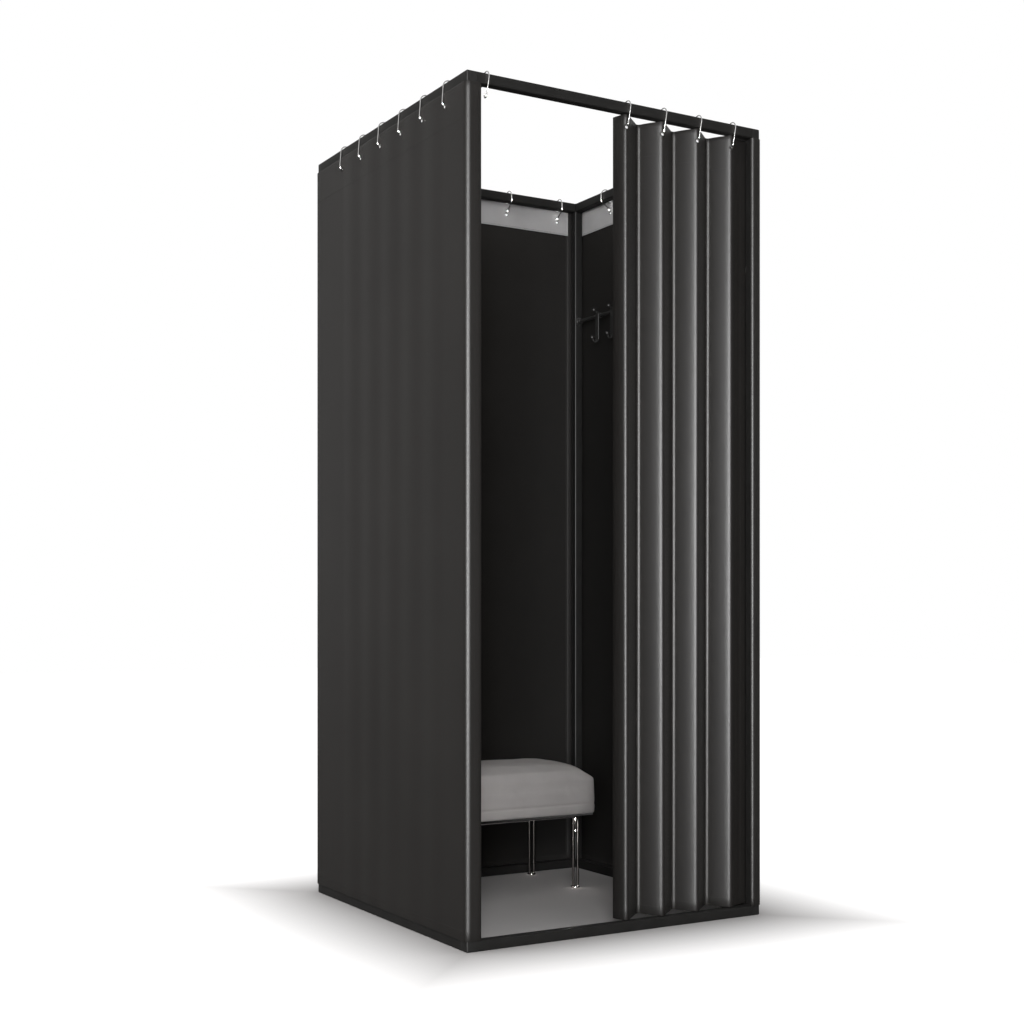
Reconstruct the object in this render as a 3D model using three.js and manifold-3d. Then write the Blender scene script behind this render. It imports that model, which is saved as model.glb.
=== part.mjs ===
// Portable fitting room: a booth of square steel tube hung with three wall curtains and a half drawn
// front curtain on wire hooks, with a coat rail on its right side and an upholstered bench inside.
// Millimetres, +Z up, the front faces -Y. The origin is on the floor under the middle of the booth.
import * as THREE from 'three'
import { RoundedBoxGeometry } from 'three/addons/geometries/RoundedBoxGeometry.js'
import { mergeVertices } from 'three/addons/utils/BufferGeometryUtils.js'
import Module from 'manifold-3d'

const wasm = await Module()
wasm.setup()

// Booth frame
const WIDTH = 850
const DEPTH = 850
const HEIGHT = 2000
const TUBE = 25
const TUBE_WALL = 1.5
const TUBE_CORNER = 3
const SPIGOT_LENGTH = 40
const SPIGOT_CHAMFER = 1.5

// Gap left between two pieces that touch, and how far a cutting or joining solid overruns
const SEAT_GAP = 0.3
const OVERRUN = 4

// Curtain cloth
const CLOTH = 2
const CURTAIN_TOP_DROP = 25.5
const CURTAIN_FLOOR_GAP = 25.5
const LAP_TOP_DROP = 8
const LAP_FLOOR_GAP = 12
const HOOK_NOTCH = 16
const FRONT_TOP_DROP = 27
const FRONT_FLOOR_GAP = 30
const EYELET_RADIUS = 4.5
const EYELET_CLEAR = 0.65
const EYELET_SIDES = 8
const WALL_GAP = 0.5
const WRAP_CORNER = 11
const LEFT_WRAP = 40
const LEFT_HEM_TURN = 14
const LEFT_HEM_END = [2, 6]
const RIGHT_WRAP = 27.5
const RIGHT_HEM_TURN = 8
const RIGHT_HEM_END = [0, 9]
const BACK_WRAP = 45
const WALL_WAVE = 1.5
const WAVE_STEPS = 8
const CORNER_STEPS = 3

// Folds of the front curtain: crests forward under the front rail, valleys inside the booth
const CREST_COUNT = 4
const LEAD_CREST_INSET = 406
const LAST_CREST_INSET = 85
const CREST_SETBACK = 6
const FOLD_DEPTH = 55
const FOLD_RADIUS = 9
const STEEP_SHARE = 0.377
const LEAD_EDGE_STEP = 12
const LEAD_EDGE_DEPTH = 38
const TAIL_INSET = 27
const TAIL_DEPTH = 17
const FOLD_STEPS = 5

// Curtain hooks of bent wire
const WIRE = 3
const WIRE_SIDES = 5
const HOOK_SLACK = 2.5
const ARCH_RISE = 18
const ARCH_PEAK = 8
const ARCH_STEPS = 6
const SHORT_LEG_END = 21
const CURL_DROP = 49
const CURL_RADIUS = 5.5
const CURL_SWEEP = THREE.MathUtils.degToRad(210)
const CURL_STEPS = 7
const CURL_BALL = 2.6
const END_BALL = 2.8
const BALL_SIDES = 6
const BALL_BANDS = 4
const INNER_LEG_DROP = 28
const LEAN_END_DROP = 45
const LEFT_HOOK_SHIFT = 0.4
const LEFT_HOOK_TILT = THREE.MathUtils.degToRad(-8)
const FRONT_HOOK_TILT = THREE.MathUtils.degToRad(5)
const SIDE_HOOK_COUNT = 6
const SIDE_HOOK_FRONT_INSET = 100
const SIDE_HOOK_BACK_INSET = 170
const BACK_HOOK_COUNT = 5
const BACK_HOOK_INSET = 75
const STOP_HOOK_INSET = 51.5

// Coat rail across the right side, with its end cups and coat hooks
const COAT_BAR = 10
const COAT_BAR_DROP = 355
const COAT_SIDES = 12
const CUP_FLANGE = 24
const CUP_FLANGE_THICK = 3
const CUP_BOSS = 16
const CUP_LENGTH = 14
const COAT_HOOK_COUNT = 4
const COAT_HOOK_BACK_INSET = 134
const COAT_HOOK_SPACING = 78
const COAT_PLATE_WIDTH = 18
const COAT_PLATE_THICK = 3
const COAT_PLATE_ABOVE = 12
const COAT_PLATE_BELOW = 77
const COAT_COLLAR_WALL = 3
const COAT_PRONG = 5
const COAT_PRONG_SIDES = 6
const COAT_PRONG_STEPS = 4
const COAT_HAT_REACH = 12
const COAT_HAT_RISE = 8
const COAT_COAT_REACH = 18
const COAT_COAT_DIP = 8
const COAT_COAT_RISE = 6
const COAT_BALL = 6

// Bench
const BENCH_LENGTH = 570
const BENCH_DEPTH = 305
const BENCH_BACK_INSET = 25
const SEAT_UNDERSIDE = 208
const SEAT_SIDE_HEIGHT = 107
const SEAT_CROWN = 40
const SEAT_CORNER = 12
const SEAT_BULGE = 3
const SEAT_ROWS = 10
const SEAT_COLUMNS = 16
const SEAT_BANDS = 3
const BOARD_INSET = 14
const BOARD_THICK = 5
const LEG_SIDE_INSET = 60
const LEG_FRONT_INSET = 34
const LEG_ROD = 7
const LEG_ROD_SIDES = 8
const LEG_SPREAD = 15
const LEG_FOOT = 25
const LEG_FOOT_SIDES = 12
const LEG_FOOT_HEIGHT = 4
const LEG_EDGE = 1
const PLUG_TOP = 14
const PLUG_TIP = 7
const PLUG_LENGTH = 36
const PLUG_BEAD = 4.5

const finishes = {
  frame: new THREE.MeshStandardMaterial({
    name: 'dark_powder_coat', color: 0x2b2a28, roughness: 0.45, metalness: 0.3 }),
  connector: new THREE.MeshStandardMaterial({
    name: 'dark_connector', color: 0x2d2c2a, roughness: 0.5, metalness: 0.1 }),
  cloth: new THREE.MeshStandardMaterial({
    name: 'dark_grey_cloth', color: 0x302f2c, roughness: 0.6, metalness: 0 }),
  steel: new THREE.MeshStandardMaterial({
    name: 'bright_steel', color: 0xb8b6b2, roughness: 0.25, metalness: 1 }),
  dark: new THREE.MeshStandardMaterial({
    name: 'black_steel', color: 0x1c1b1a, roughness: 0.4, metalness: 0.6 }),
  seat: new THREE.MeshStandardMaterial({
    name: 'pale_grey_fabric', color: 0x8f8986, roughness: 0.9, metalness: 0 }),
  leg: new THREE.MeshStandardMaterial({ name: 'chromed_steel', color: 0x6d6763, roughness: 0.2, metalness: 1 })
}

const fittingRoom = new THREE.Group()

function add (name, geometry, finish, place = [0, 0, 0], turn = [0, 0, 0]) {
  const mesh = new THREE.Mesh(geometry, finish)
  mesh.name = name
  mesh.position.set(...place)
  mesh.rotation.set(...turn)
  fittingRoom.add(mesh)
  return mesh
}

// A closed three.js geometry as a solid, and a solid as a geometry again
function toSolid (geometry) {
  const bare = geometry.clone()
  bare.deleteAttribute('normal')
  bare.deleteAttribute('uv')
  const merged = mergeVertices(bare)
  return new wasm.Manifold(new wasm.Mesh({
    numProp: 3,
    vertProperties: new Float32Array(merged.attributes.position.array),
    triVerts: new Uint32Array(merged.index.array)
  }))
}

function toGeometry (solid) {
  const mesh = solid.getMesh()
  const geometry = new THREE.BufferGeometry()
  geometry.setAttribute('position', new THREE.BufferAttribute(new Float32Array(mesh.vertProperties), 3))
  geometry.setIndex(new THREE.BufferAttribute(new Uint32Array(mesh.triVerts), 1))
  geometry.computeVertexNormals()
  return geometry
}

function joinSolids (geometries) {
  return geometries.map(toSolid).reduce((whole, piece) => whole.add(piece))
}

// Outlines
function roundedSquare (side, radius) {
  const half = side / 2
  const shape = new THREE.Shape()
  shape.moveTo(half, -half + radius)
  shape.lineTo(half, half - radius)
  shape.absarc(half - radius, half - radius, radius, 0, Math.PI / 2)
  shape.lineTo(-half + radius, half)
  shape.absarc(-half + radius, half - radius, radius, Math.PI / 2, Math.PI)
  shape.lineTo(-half, -half + radius)
  shape.absarc(-half + radius, -half + radius, radius, Math.PI, Math.PI * 3 / 2)
  shape.lineTo(half - radius, -half)
  shape.absarc(half - radius, -half + radius, radius, Math.PI * 3 / 2, Math.PI * 2)
  return shape
}

// A path that runs straight between turns. Each turn is a circle with a side: 1 turns left, -1 turns right,
// and the path's two ends are turns of no radius.
function turnedPath (turns, steps) {
  const heading = turns.slice(1).map((next, i) => {
    const gap = next.centre.clone().sub(turns[i].centre)
    const shift = next.side * next.radius - turns[i].side * turns[i].radius
    return gap.angle() - Math.asin(shift / gap.length())
  })
  const path = [turns[0].centre]
  for (let i = 1; i < turns.length - 1; i++) {
    const { centre, radius, side } = turns[i]
    const swing = Math.atan2(Math.sin(heading[i] - heading[i - 1]), Math.cos(heading[i] - heading[i - 1]))
    for (let k = 0; k <= steps; k++) {
      const angle = heading[i - 1] + swing * k / steps
      const toPath = new THREE.Vector2(Math.sin(angle), -Math.cos(angle)).multiplyScalar(side * radius)
      path.push(toPath.add(centre))
    }
  }
  path.push(turns[turns.length - 1].centre)
  return path
}

function turn (x, y, radius = 0, side = 0) {
  return { centre: new THREE.Vector2(x, y), radius, side }
}

// A cloth seen from above: a strip of even thickness along a path
function clothShape (path) {
  const edges = [[], []]
  path.forEach((point, i) => {
    const before = path[Math.max(i - 1, 0)]
    const after = path[Math.min(i + 1, path.length - 1)]
    const along = after.clone().sub(before).normalize()
    const across = new THREE.Vector2(-along.y, along.x).multiplyScalar(CLOTH / 2)
    edges[0].push(point.clone().add(across))
    edges[1].unshift(point.clone().sub(across))
  })
  return new THREE.Shape([...edges[0], ...edges[1]])
}

// Round bar of the given shape along a line of bends, a section at each bend
class BentLine extends THREE.Curve {
  constructor (bends) {
    super()
    this.bends = bends
  }

  getPoint (share, target = new THREE.Vector3()) {
    const place = THREE.MathUtils.clamp(share, 0, 1) * (this.bends.length - 1)
    const index = Math.min(Math.floor(place), this.bends.length - 2)
    return target.copy(this.bends[index]).lerp(this.bends[index + 1], place - index)
  }

  getPointAt (share, target) {
    return this.getPoint(share, target)
  }

  getTangentAt (share, target) {
    return this.getTangent(share, target)
  }
}

function bentBar (bends, diameter, sides) {
  const section = new THREE.Shape()
  for (let i = 0; i < sides; i++) {
    const angle = Math.PI * 2 * i / sides
    const point = [Math.cos(angle) * diameter / 2, Math.sin(angle) * diameter / 2]
    if (i === 0) section.moveTo(...point)
    else section.lineTo(...point)
  }
  section.closePath()
  const extrudePath = new BentLine(bends)
  return new THREE.ExtrudeGeometry(section, { steps: bends.length - 1, extrudePath })
}

// Frame tubes, open at both ends, each standing between two corner connectors
function frameTube (length) {
  const section = roundedSquare(TUBE, TUBE_CORNER)
  section.holes.push(roundedSquare(TUBE - 2 * TUBE_WALL, TUBE_CORNER - TUBE_WALL))
  const tube = new THREE.ExtrudeGeometry(section, { depth: length, bevelEnabled: false, curveSegments: 2 })
  return tube.translate(0, 0, -length / 2)
}

const postX = (WIDTH - TUBE) / 2
const postY = (DEPTH - TUBE) / 2
const topRailZ = HEIGHT - TUBE / 2
const bottomRailZ = TUBE / 2
const coatBarZ = HEIGHT - COAT_BAR_DROP
const sides = [['left', -1], ['right', 1]]
const ends = [['front', -1], ['back', 1]]
const levels = [['bottom', bottomRailZ], ['top', topRailZ]]

function addFrame () {
  const between = 2 * (TUBE + SEAT_GAP)
  for (const [endName, endSign] of ends) {
    for (const [sideName, sideSign] of sides) {
      add(`post_${endName}_${sideName}`, frameTube(HEIGHT - between), finishes.frame,
        [sideSign * postX, endSign * postY, HEIGHT / 2])
    }
  }
  for (const [levelName, z] of levels) {
    for (const [endName, endSign] of ends) {
      add(`rail_${levelName}_${endName}`, frameTube(WIDTH - between), finishes.frame,
        [0, endSign * postY, z], [0, Math.PI / 2, 0])
    }
    for (const [sideName, sideSign] of sides) {
      add(`rail_${levelName}_${sideName}`, frameTube(DEPTH - between), finishes.frame,
        [sideSign * postX, 0, z], [Math.PI / 2, 0, 0])
    }
  }
}

// A corner connector: a block flush with the tubes, rounded on its three outer edges, with a spigot into
// each of the three tubes. The signs point from the block to the tubes.
function cornerConnector (signs) {
  const block = new RoundedBoxGeometry(2 * TUBE, 2 * TUBE, 2 * TUBE, 2, TUBE_CORNER)
  block.translate(...signs.map(sign => sign * TUBE / 2))
  const bounds = toSolid(new THREE.BoxGeometry(TUBE, TUBE, TUBE))
  let connector = toSolid(block).intersect(bounds)
  const width = TUBE - 2 * (TUBE_WALL + SEAT_GAP)
  const turns = [
    [0, signs[0] * Math.PI / 2, 0],
    [-signs[1] * Math.PI / 2, 0, 0],
    [signs[2] > 0 ? 0 : Math.PI, 0, 0]]
  for (const turn of turns) {
    const spigot = new THREE.ExtrudeGeometry(roundedSquare(width - 2 * SPIGOT_CHAMFER, SPIGOT_CHAMFER), {
      depth: SPIGOT_LENGTH + OVERRUN - 2 * SPIGOT_CHAMFER,
      curveSegments: 1,
      bevelSize: SPIGOT_CHAMFER,
      bevelThickness: SPIGOT_CHAMFER,
      bevelSegments: 1
    })
    spigot.translate(0, 0, TUBE / 2 - OVERRUN + SPIGOT_CHAMFER)
    spigot.applyMatrix4(new THREE.Matrix4().makeRotationFromEuler(new THREE.Euler(...turn)))
    connector = connector.add(toSolid(spigot))
  }
  return toGeometry(connector)
}

function addConnectors () {
  for (const [levelName, z] of levels) {
    for (const [endName, endSign] of ends) {
      for (const [sideName, sideSign] of sides) {
        const upward = levelName === 'bottom' ? 1 : -1
        add(`corner_${levelName}_${endName}_${sideName}`, cornerConnector([-sideSign, -endSign, upward]),
          finishes.connector, [sideSign * postX, endSign * postY, z])
      }
    }
  }
}

// Places of the hooks along the rails
function evenPlaces (first, last, count) {
  return Array.from({ length: count }, (_, i) => first + (last - first) * i / (count - 1))
}

const sideHookPlaces = evenPlaces(
  SIDE_HOOK_FRONT_INSET - DEPTH / 2, DEPTH / 2 - SIDE_HOOK_BACK_INSET, SIDE_HOOK_COUNT)
const backHookPlaces = evenPlaces(BACK_HOOK_INSET - WIDTH / 2, WIDTH / 2 - BACK_HOOK_INSET, BACK_HOOK_COUNT)
const crestPlaces = evenPlaces(WIDTH / 2 - LEAD_CREST_INSET, WIDTH / 2 - LAST_CREST_INSET, CREST_COUNT)
const eyeletZ = HEIGHT - CURL_DROP - CURL_RADIUS + WIRE / 2 + EYELET_CLEAR - EYELET_RADIUS

// Middle of the cloth, out from the frame's outer faces: the back curtain lies on the posts, and the side
// curtains lap over it at the back corners
const backOffset = WALL_GAP + CLOTH / 2
const sideOffset = backOffset + CLOTH + SEAT_GAP

// Shallow waves along a wall, nearest the frame at each hook
function waveAt (place, hookPlaces) {
  const spacing = hookPlaces[1] - hookPlaces[0]
  return WALL_WAVE * (1 - Math.cos(Math.PI * 2 * (place - hookPlaces[0]) / spacing)) / 2
}

function wavedRun (from, to, hookPlaces) {
  const spacing = hookPlaces[1] - hookPlaces[0]
  const steps = Math.ceil((to - from) / spacing * WAVE_STEPS)
  return evenPlaces(from, to, steps + 1).map(place => [place, waveAt(place, hookPlaces)])
}

function hangCloth (path, floorGap, topDrop) {
  const height = HEIGHT - floorGap - topDrop
  return new THREE.ExtrudeGeometry(clothShape(path), { depth: height, bevelEnabled: false })
    .translate(0, 0, floorGap)
}

// An eyelet is cut on a line through the cloth, along Y or along X
function eyeletCutter (x, y, alongX) {
  const reach = 2 * (CLOTH + OVERRUN)
  const radius = EYELET_RADIUS / Math.cos(Math.PI / EYELET_SIDES)
  const cutter = new THREE.CylinderGeometry(radius, radius, reach, EYELET_SIDES)
  cutter.rotateY(Math.PI / EYELET_SIDES)
  if (alongX) cutter.rotateZ(Math.PI / 2)
  return cutter.translate(x, y, eyeletZ)
}

function cutEyelets (cloth, cutters) {
  return toGeometry(cutters.reduce((rest, cutter) => rest.subtract(toSolid(cutter)), toSolid(cloth)))
}

// Cut-outs in a curtain that laps over its rails: one in the top edge for the end of each hook, and the two
// front corners, which would cover the connectors
function hookNotch (x, y) {
  const height = CURTAIN_TOP_DROP - LAP_TOP_DROP + OVERRUN
  return new THREE.BoxGeometry(HOOK_NOTCH, HOOK_NOTCH, height)
    .translate(x, y, HEIGHT - CURTAIN_TOP_DROP + height / 2)
}

function cornerNotches (sign, frontWrap) {
  const reach = 2 * (frontWrap + OVERRUN)
  const low = CURTAIN_FLOOR_GAP - LAP_FLOOR_GAP + OVERRUN
  const high = CURTAIN_TOP_DROP - LAP_TOP_DROP + OVERRUN
  return [[low, CURTAIN_FLOOR_GAP - low / 2], [high, HEIGHT - CURTAIN_TOP_DROP + high / 2]]
    .map(([height, z]) => new THREE.BoxGeometry(reach, reach, height)
      .translate(sign * WIDTH / 2, -DEPTH / 2, z))
}

// A side curtain wraps round the front post on to the front face, where its hem turns inwards, and round the
// back post over the back curtain. The left one hangs between its rails, and the right one laps over them.
function addSideCurtain (name, sign, frontWrap, hemTurn, hemEnd, laps) {
  const faceX = WIDTH / 2 + sideOffset
  const faceY = DEPTH / 2 + sideOffset
  const hemX = WIDTH / 2 - frontWrap
  const turned = turnedPath([
    turn(hemX + hemEnd[0], -faceY + hemEnd[1]),
    turn(hemX + hemTurn, -faceY + hemTurn, hemTurn, 1),
    turn(faceX - WRAP_CORNER, -faceY + WRAP_CORNER, WRAP_CORNER, 1),
    turn(faceX - WRAP_CORNER, faceY - WRAP_CORNER, WRAP_CORNER, 1),
    turn(WIDTH / 2 - BACK_WRAP, faceY)
  ], CORNER_STEPS)
  const side = turned.findIndex(point => point.y > 0)
  const run = wavedRun(sideHookPlaces[0], sideHookPlaces[SIDE_HOOK_COUNT - 1], sideHookPlaces)
    .map(([y, wave]) => new THREE.Vector2(faceX + wave, y))
  const path = [...turned.slice(0, side), ...run, ...turned.slice(side)]
  const placed = sign > 0 ? path : path.map(point => new THREE.Vector2(-point.x, point.y)).reverse()
  const cutters = sideHookPlaces.map(y => eyeletCutter(sign * faceX, y, true))
  if (laps) {
    cutters.push(...sideHookPlaces.map(y => hookNotch(sign * faceX, y)))
    cutters.push(...cornerNotches(sign, frontWrap))
  }
  const floorGap = laps ? LAP_FLOOR_GAP : CURTAIN_FLOOR_GAP
  const topDrop = laps ? LAP_TOP_DROP : CURTAIN_TOP_DROP
  const cloth = hangCloth(placed.reverse(), floorGap, topDrop)
  add(name, cutEyelets(cloth, cutters), finishes.cloth)
}

function addBackCurtain () {
  const faceY = DEPTH / 2 + backOffset
  const path = wavedRun(backHookPlaces[0], backHookPlaces[BACK_HOOK_COUNT - 1], backHookPlaces)
    .map(([x, wave]) => new THREE.Vector2(x, faceY + wave))
  const edge = WIDTH / 2 - WRAP_CORNER
  path.unshift(new THREE.Vector2(-edge, faceY))
  path.push(new THREE.Vector2(edge, faceY))
  const cloth = hangCloth(path.reverse(), LAP_FLOOR_GAP, LAP_TOP_DROP)
  const cutters = backHookPlaces.flatMap(x => [eyeletCutter(x, faceY, false), hookNotch(x, faceY)])
  add('back_curtain', cutEyelets(cloth, cutters), finishes.cloth)
}

// The front curtain: from its leading edge, over each crest, down a long shallow face to the valley and
// steeply back to the next crest, and in behind the right curtain's wrap
function addFrontCurtain () {
  const crestY = CREST_SETBACK - DEPTH / 2
  const valleyStep = (crestPlaces[1] - crestPlaces[0]) * (1 - STEEP_SHARE)
  const turns = [turn(crestPlaces[0] - LEAD_EDGE_STEP, crestY + LEAD_EDGE_DEPTH)]
  crestPlaces.forEach((x, i) => {
    turns.push(turn(x, crestY + FOLD_RADIUS, FOLD_RADIUS, 1))
    if (i < CREST_COUNT - 1) {
      turns.push(turn(x + valleyStep, crestY + FOLD_DEPTH - FOLD_RADIUS, FOLD_RADIUS, -1))
    }
  })
  turns.push(turn(WIDTH / 2 - TAIL_INSET, crestY + TAIL_DEPTH))
  const cloth = hangCloth(turnedPath(turns, FOLD_STEPS).reverse(), FRONT_FLOOR_GAP, FRONT_TOP_DROP)
  add('front_curtain', cutEyelets(cloth, crestPlaces.map(x => eyeletCutter(x, crestY, false))), finishes.cloth)
}

// A hook is drawn in a plane across its rail: out from the rail's outer face, and up. Its arch rests on
// the rail, a short leg with a ball hangs on one side, and a long leg runs down the other side and curls
// through the curtain's eyelet.
function hookWire (clothOffset, legOutside, shift) {
  const side = legOutside ? 1 : -1
  const middle = shift - TUBE / 2
  const reach = TUBE / 2 + WIRE / 2 + HOOK_SLACK
  const springing = HEIGHT + ARCH_PEAK - ARCH_RISE
  const curlZ = HEIGHT - CURL_DROP
  const bends = [[middle - side * reach, HEIGHT - SHORT_LEG_END]]
  for (let i = 0; i <= ARCH_STEPS; i++) {
    const angle = Math.PI * (1 - i / ARCH_STEPS)
    bends.push([middle + side * reach * Math.cos(angle), springing + ARCH_RISE * Math.sin(angle)])
  }
  if (!legOutside) bends.push([middle + side * reach, HEIGHT - INNER_LEG_DROP])
  bends.push([clothOffset + side * CURL_RADIUS, HEIGHT - LEAN_END_DROP])
  for (let i = 0; i <= CURL_STEPS; i++) {
    const angle = -CURL_SWEEP * i / CURL_STEPS
    bends.push([clothOffset + side * CURL_RADIUS * Math.cos(angle), curlZ + CURL_RADIUS * Math.sin(angle)])
  }
  return bends
}

// A tilted hook leans along its rail, about the bottom of its curl
function curtainHook (clothOffset, legOutside, shift = 0, tilt = 0) {
  const pivot = HEIGHT - CURL_DROP - CURL_RADIUS
  const bends = hookWire(clothOffset, legOutside, shift)
    .map(([out, up]) => new THREE.Vector3((up - pivot) * Math.tan(tilt), -out, up))
  const shortBall = new THREE.SphereGeometry(END_BALL, BALL_SIDES, BALL_BANDS).translate(...bends[0].toArray())
  const curlEnd = bends[bends.length - 1].toArray()
  const curlBall = new THREE.SphereGeometry(CURL_BALL, BALL_SIDES, BALL_BANDS).translate(...curlEnd)
  return toGeometry(joinSolids([bentBar(bends, WIRE, WIRE_SIDES), shortBall, curlBall]))
}

function addCurtainHooks () {
  const leftHook = curtainHook(sideOffset, true, LEFT_HOOK_SHIFT, LEFT_HOOK_TILT)
  const rightHook = curtainHook(sideOffset, false)
  const backHook = curtainHook(backOffset, false)
  const frontHook = curtainHook(-CREST_SETBACK, true, 0, FRONT_HOOK_TILT)
  sideHookPlaces.forEach((y, i) => {
    add(`left_hook_${i + 1}`, leftHook, finishes.steel, [-WIDTH / 2, y, 0], [0, 0, -Math.PI / 2])
    add(`right_hook_${i + 1}`, rightHook, finishes.steel, [WIDTH / 2, y, 0], [0, 0, Math.PI / 2])
  })
  backHookPlaces.forEach((x, i) => {
    add(`back_hook_${i + 1}`, backHook, finishes.steel, [x, DEPTH / 2, 0], [0, 0, Math.PI])
  })
  crestPlaces.forEach((x, i) => {
    add(`front_hook_${i + 1}`, frontHook, finishes.steel, [x, -DEPTH / 2, 0])
  })
  add('front_stop_hook', frontHook, finishes.steel, [STOP_HOOK_INSET - WIDTH / 2, -DEPTH / 2, 0])
}

// Coat rail: a bar whose ends sit in cups on the two right posts
function coatCup () {
  const bore = COAT_BAR / 2 + SEAT_GAP
  const profile = [
    [0, 0],
    [CUP_FLANGE / 2, 0],
    [CUP_FLANGE / 2, CUP_FLANGE_THICK],
    [CUP_BOSS / 2, CUP_FLANGE_THICK],
    [CUP_BOSS / 2, CUP_LENGTH],
    [bore, CUP_LENGTH],
    [bore, CUP_FLANGE_THICK],
    [0, CUP_FLANGE_THICK]
  ].map(point => new THREE.Vector2(...point))
  return new THREE.LatheGeometry(profile, COAT_SIDES)
}

function prong (bends) {
  const curve = new THREE.CatmullRomCurve3(bends)
  const along = new BentLine(curve.getPoints(COAT_PRONG_STEPS))
  const prongEnd = bends[bends.length - 1].toArray()
  const tip = new THREE.SphereGeometry(COAT_BALL, BALL_SIDES + 2, BALL_BANDS + 1).translate(...prongEnd)
  return [bentBar(along.bends, COAT_PRONG, COAT_PRONG_SIDES), tip]
}

// A coat hook: an upright plate with a collar round the bar, a short prong above and a long one below.
// Its prongs reach towards -X, into the booth.
function coatHook () {
  const boreRadius = COAT_BAR / 2 + SEAT_GAP
  const collarRadius = boreRadius + COAT_COLLAR_WALL
  const plateX = -(boreRadius + COAT_PLATE_THICK / 2)
  const outline = new THREE.Shape()
  outline.absarc(COAT_PLATE_ABOVE - COAT_PLATE_WIDTH / 2, 0, COAT_PLATE_WIDTH / 2, -Math.PI / 2, Math.PI / 2)
  outline.absarc(
    COAT_PLATE_WIDTH / 2 - COAT_PLATE_BELOW, 0, COAT_PLATE_WIDTH / 2, Math.PI / 2, Math.PI * 3 / 2)
  const plate = new THREE.ExtrudeGeometry(
    outline, { depth: COAT_PLATE_THICK, bevelEnabled: false, curveSegments: 5 })
  plate.rotateY(-Math.PI / 2).translate(plateX + COAT_PLATE_THICK / 2, 0, 0)
  const collar = new THREE.CylinderGeometry(collarRadius, collarRadius, COAT_PLATE_WIDTH, COAT_SIDES)
  const bore = new THREE.CylinderGeometry(boreRadius, boreRadius, COAT_PLATE_WIDTH + OVERRUN, COAT_SIDES)
  const hatZ = COAT_PLATE_ABOVE - COAT_PRONG
  const coatZ = -COAT_PLATE_BELOW + COAT_PRONG
  const hat = prong([
    new THREE.Vector3(plateX, 0, hatZ),
    new THREE.Vector3(plateX - COAT_HAT_REACH / 2, 0, hatZ + COAT_HAT_RISE / 4),
    new THREE.Vector3(plateX - COAT_HAT_REACH, 0, hatZ + COAT_HAT_RISE)
  ])
  const coat = prong([
    new THREE.Vector3(plateX, 0, coatZ),
    new THREE.Vector3(plateX - COAT_COAT_REACH / 2, 0, coatZ - COAT_COAT_DIP),
    new THREE.Vector3(plateX - COAT_COAT_REACH, 0, coatZ + COAT_COAT_RISE)
  ])
  return toGeometry(joinSolids([plate, collar, ...hat, ...coat]).subtract(toSolid(bore)))
}

function addCoatRail () {
  const cupY = postY - TUBE / 2 - SEAT_GAP
  const barLength = 2 * (cupY - CUP_FLANGE_THICK - SEAT_GAP)
  const bar = new THREE.CylinderGeometry(COAT_BAR / 2, COAT_BAR / 2, barLength, COAT_SIDES)
  add('coat_rail', bar, finishes.dark, [postX, 0, coatBarZ])
  for (const [endName, endSign] of ends) {
    const turn = [endSign > 0 ? Math.PI : 0, 0, 0]
    add(`coat_rail_cup_${endName}`, coatCup(), finishes.dark, [postX, endSign * cupY, coatBarZ], turn)
  }
  for (let i = 0; i < COAT_HOOK_COUNT; i++) {
    const y = DEPTH / 2 - COAT_HOOK_BACK_INSET - i * COAT_HOOK_SPACING
    add(`coat_hook_${i + 1}`, coatHook(), finishes.dark, [postX, y, coatBarZ])
  }
}

// Bench seat: a box drawn out at its sides and crowned on top, with rounded upright edges
function seatCushion () {
  const box = new THREE.BoxGeometry(
    BENCH_LENGTH, BENCH_DEPTH, SEAT_SIDE_HEIGHT, SEAT_COLUMNS, SEAT_ROWS, SEAT_BANDS)
  const place = box.attributes.position
  const halfLength = BENCH_LENGTH / 2
  const halfDepth = BENCH_DEPTH / 2
  for (let i = 0; i < place.count; i++) {
    const shareX = place.getX(i) / halfLength
    const shareY = place.getY(i) / halfDepth
    const shareZ = place.getZ(i) / SEAT_SIDE_HEIGHT + 1 / 2
    const crown = SEAT_CROWN * Math.sqrt((1 - Math.abs(shareX) ** 6) * (1 - Math.abs(shareY) ** 3))
    const rounding = SEAT_CORNER * (1 - Math.SQRT1_2) * (shareX * shareY) ** 8
    const bulge = SEAT_BULGE * (Math.sin(Math.PI * shareZ) - 1)
    const x = shareX * (halfLength + bulge - rounding)
    const y = shareY * (halfDepth + bulge - rounding)
    place.setXYZ(i, x, y, shareZ * (SEAT_SIDE_HEIGHT + crown * shareZ ** 2))
  }
  return toGeometry(toSolid(box))
}

// The base: a rectangle of square rod, and the board above it that the cushion stands on
function benchBase (length, depth) {
  const outline = new THREE.Shape()
  const hole = new THREE.Path()
  const corners = [[-1, -1], [1, -1], [1, 1], [-1, 1]]
  const around = (inset) => corners.map(
    ([x, y]) => new THREE.Vector2(x * (length / 2 - inset), y * (depth / 2 - inset)))
  outline.setFromPoints(around(0))
  hole.setFromPoints(around(LEG_ROD))
  outline.holes.push(hole)
  const rods = new THREE.ExtrudeGeometry(outline, { depth: LEG_ROD, bevelEnabled: false })
  const board = new THREE.BoxGeometry(
    BENCH_LENGTH - 2 * BOARD_INSET, BENCH_DEPTH - 2 * BOARD_INSET, BOARD_THICK)
  board.translate(0, 0, LEG_ROD + BOARD_THICK / 2)
  return toGeometry(joinSolids([rods, board]))
}

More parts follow.
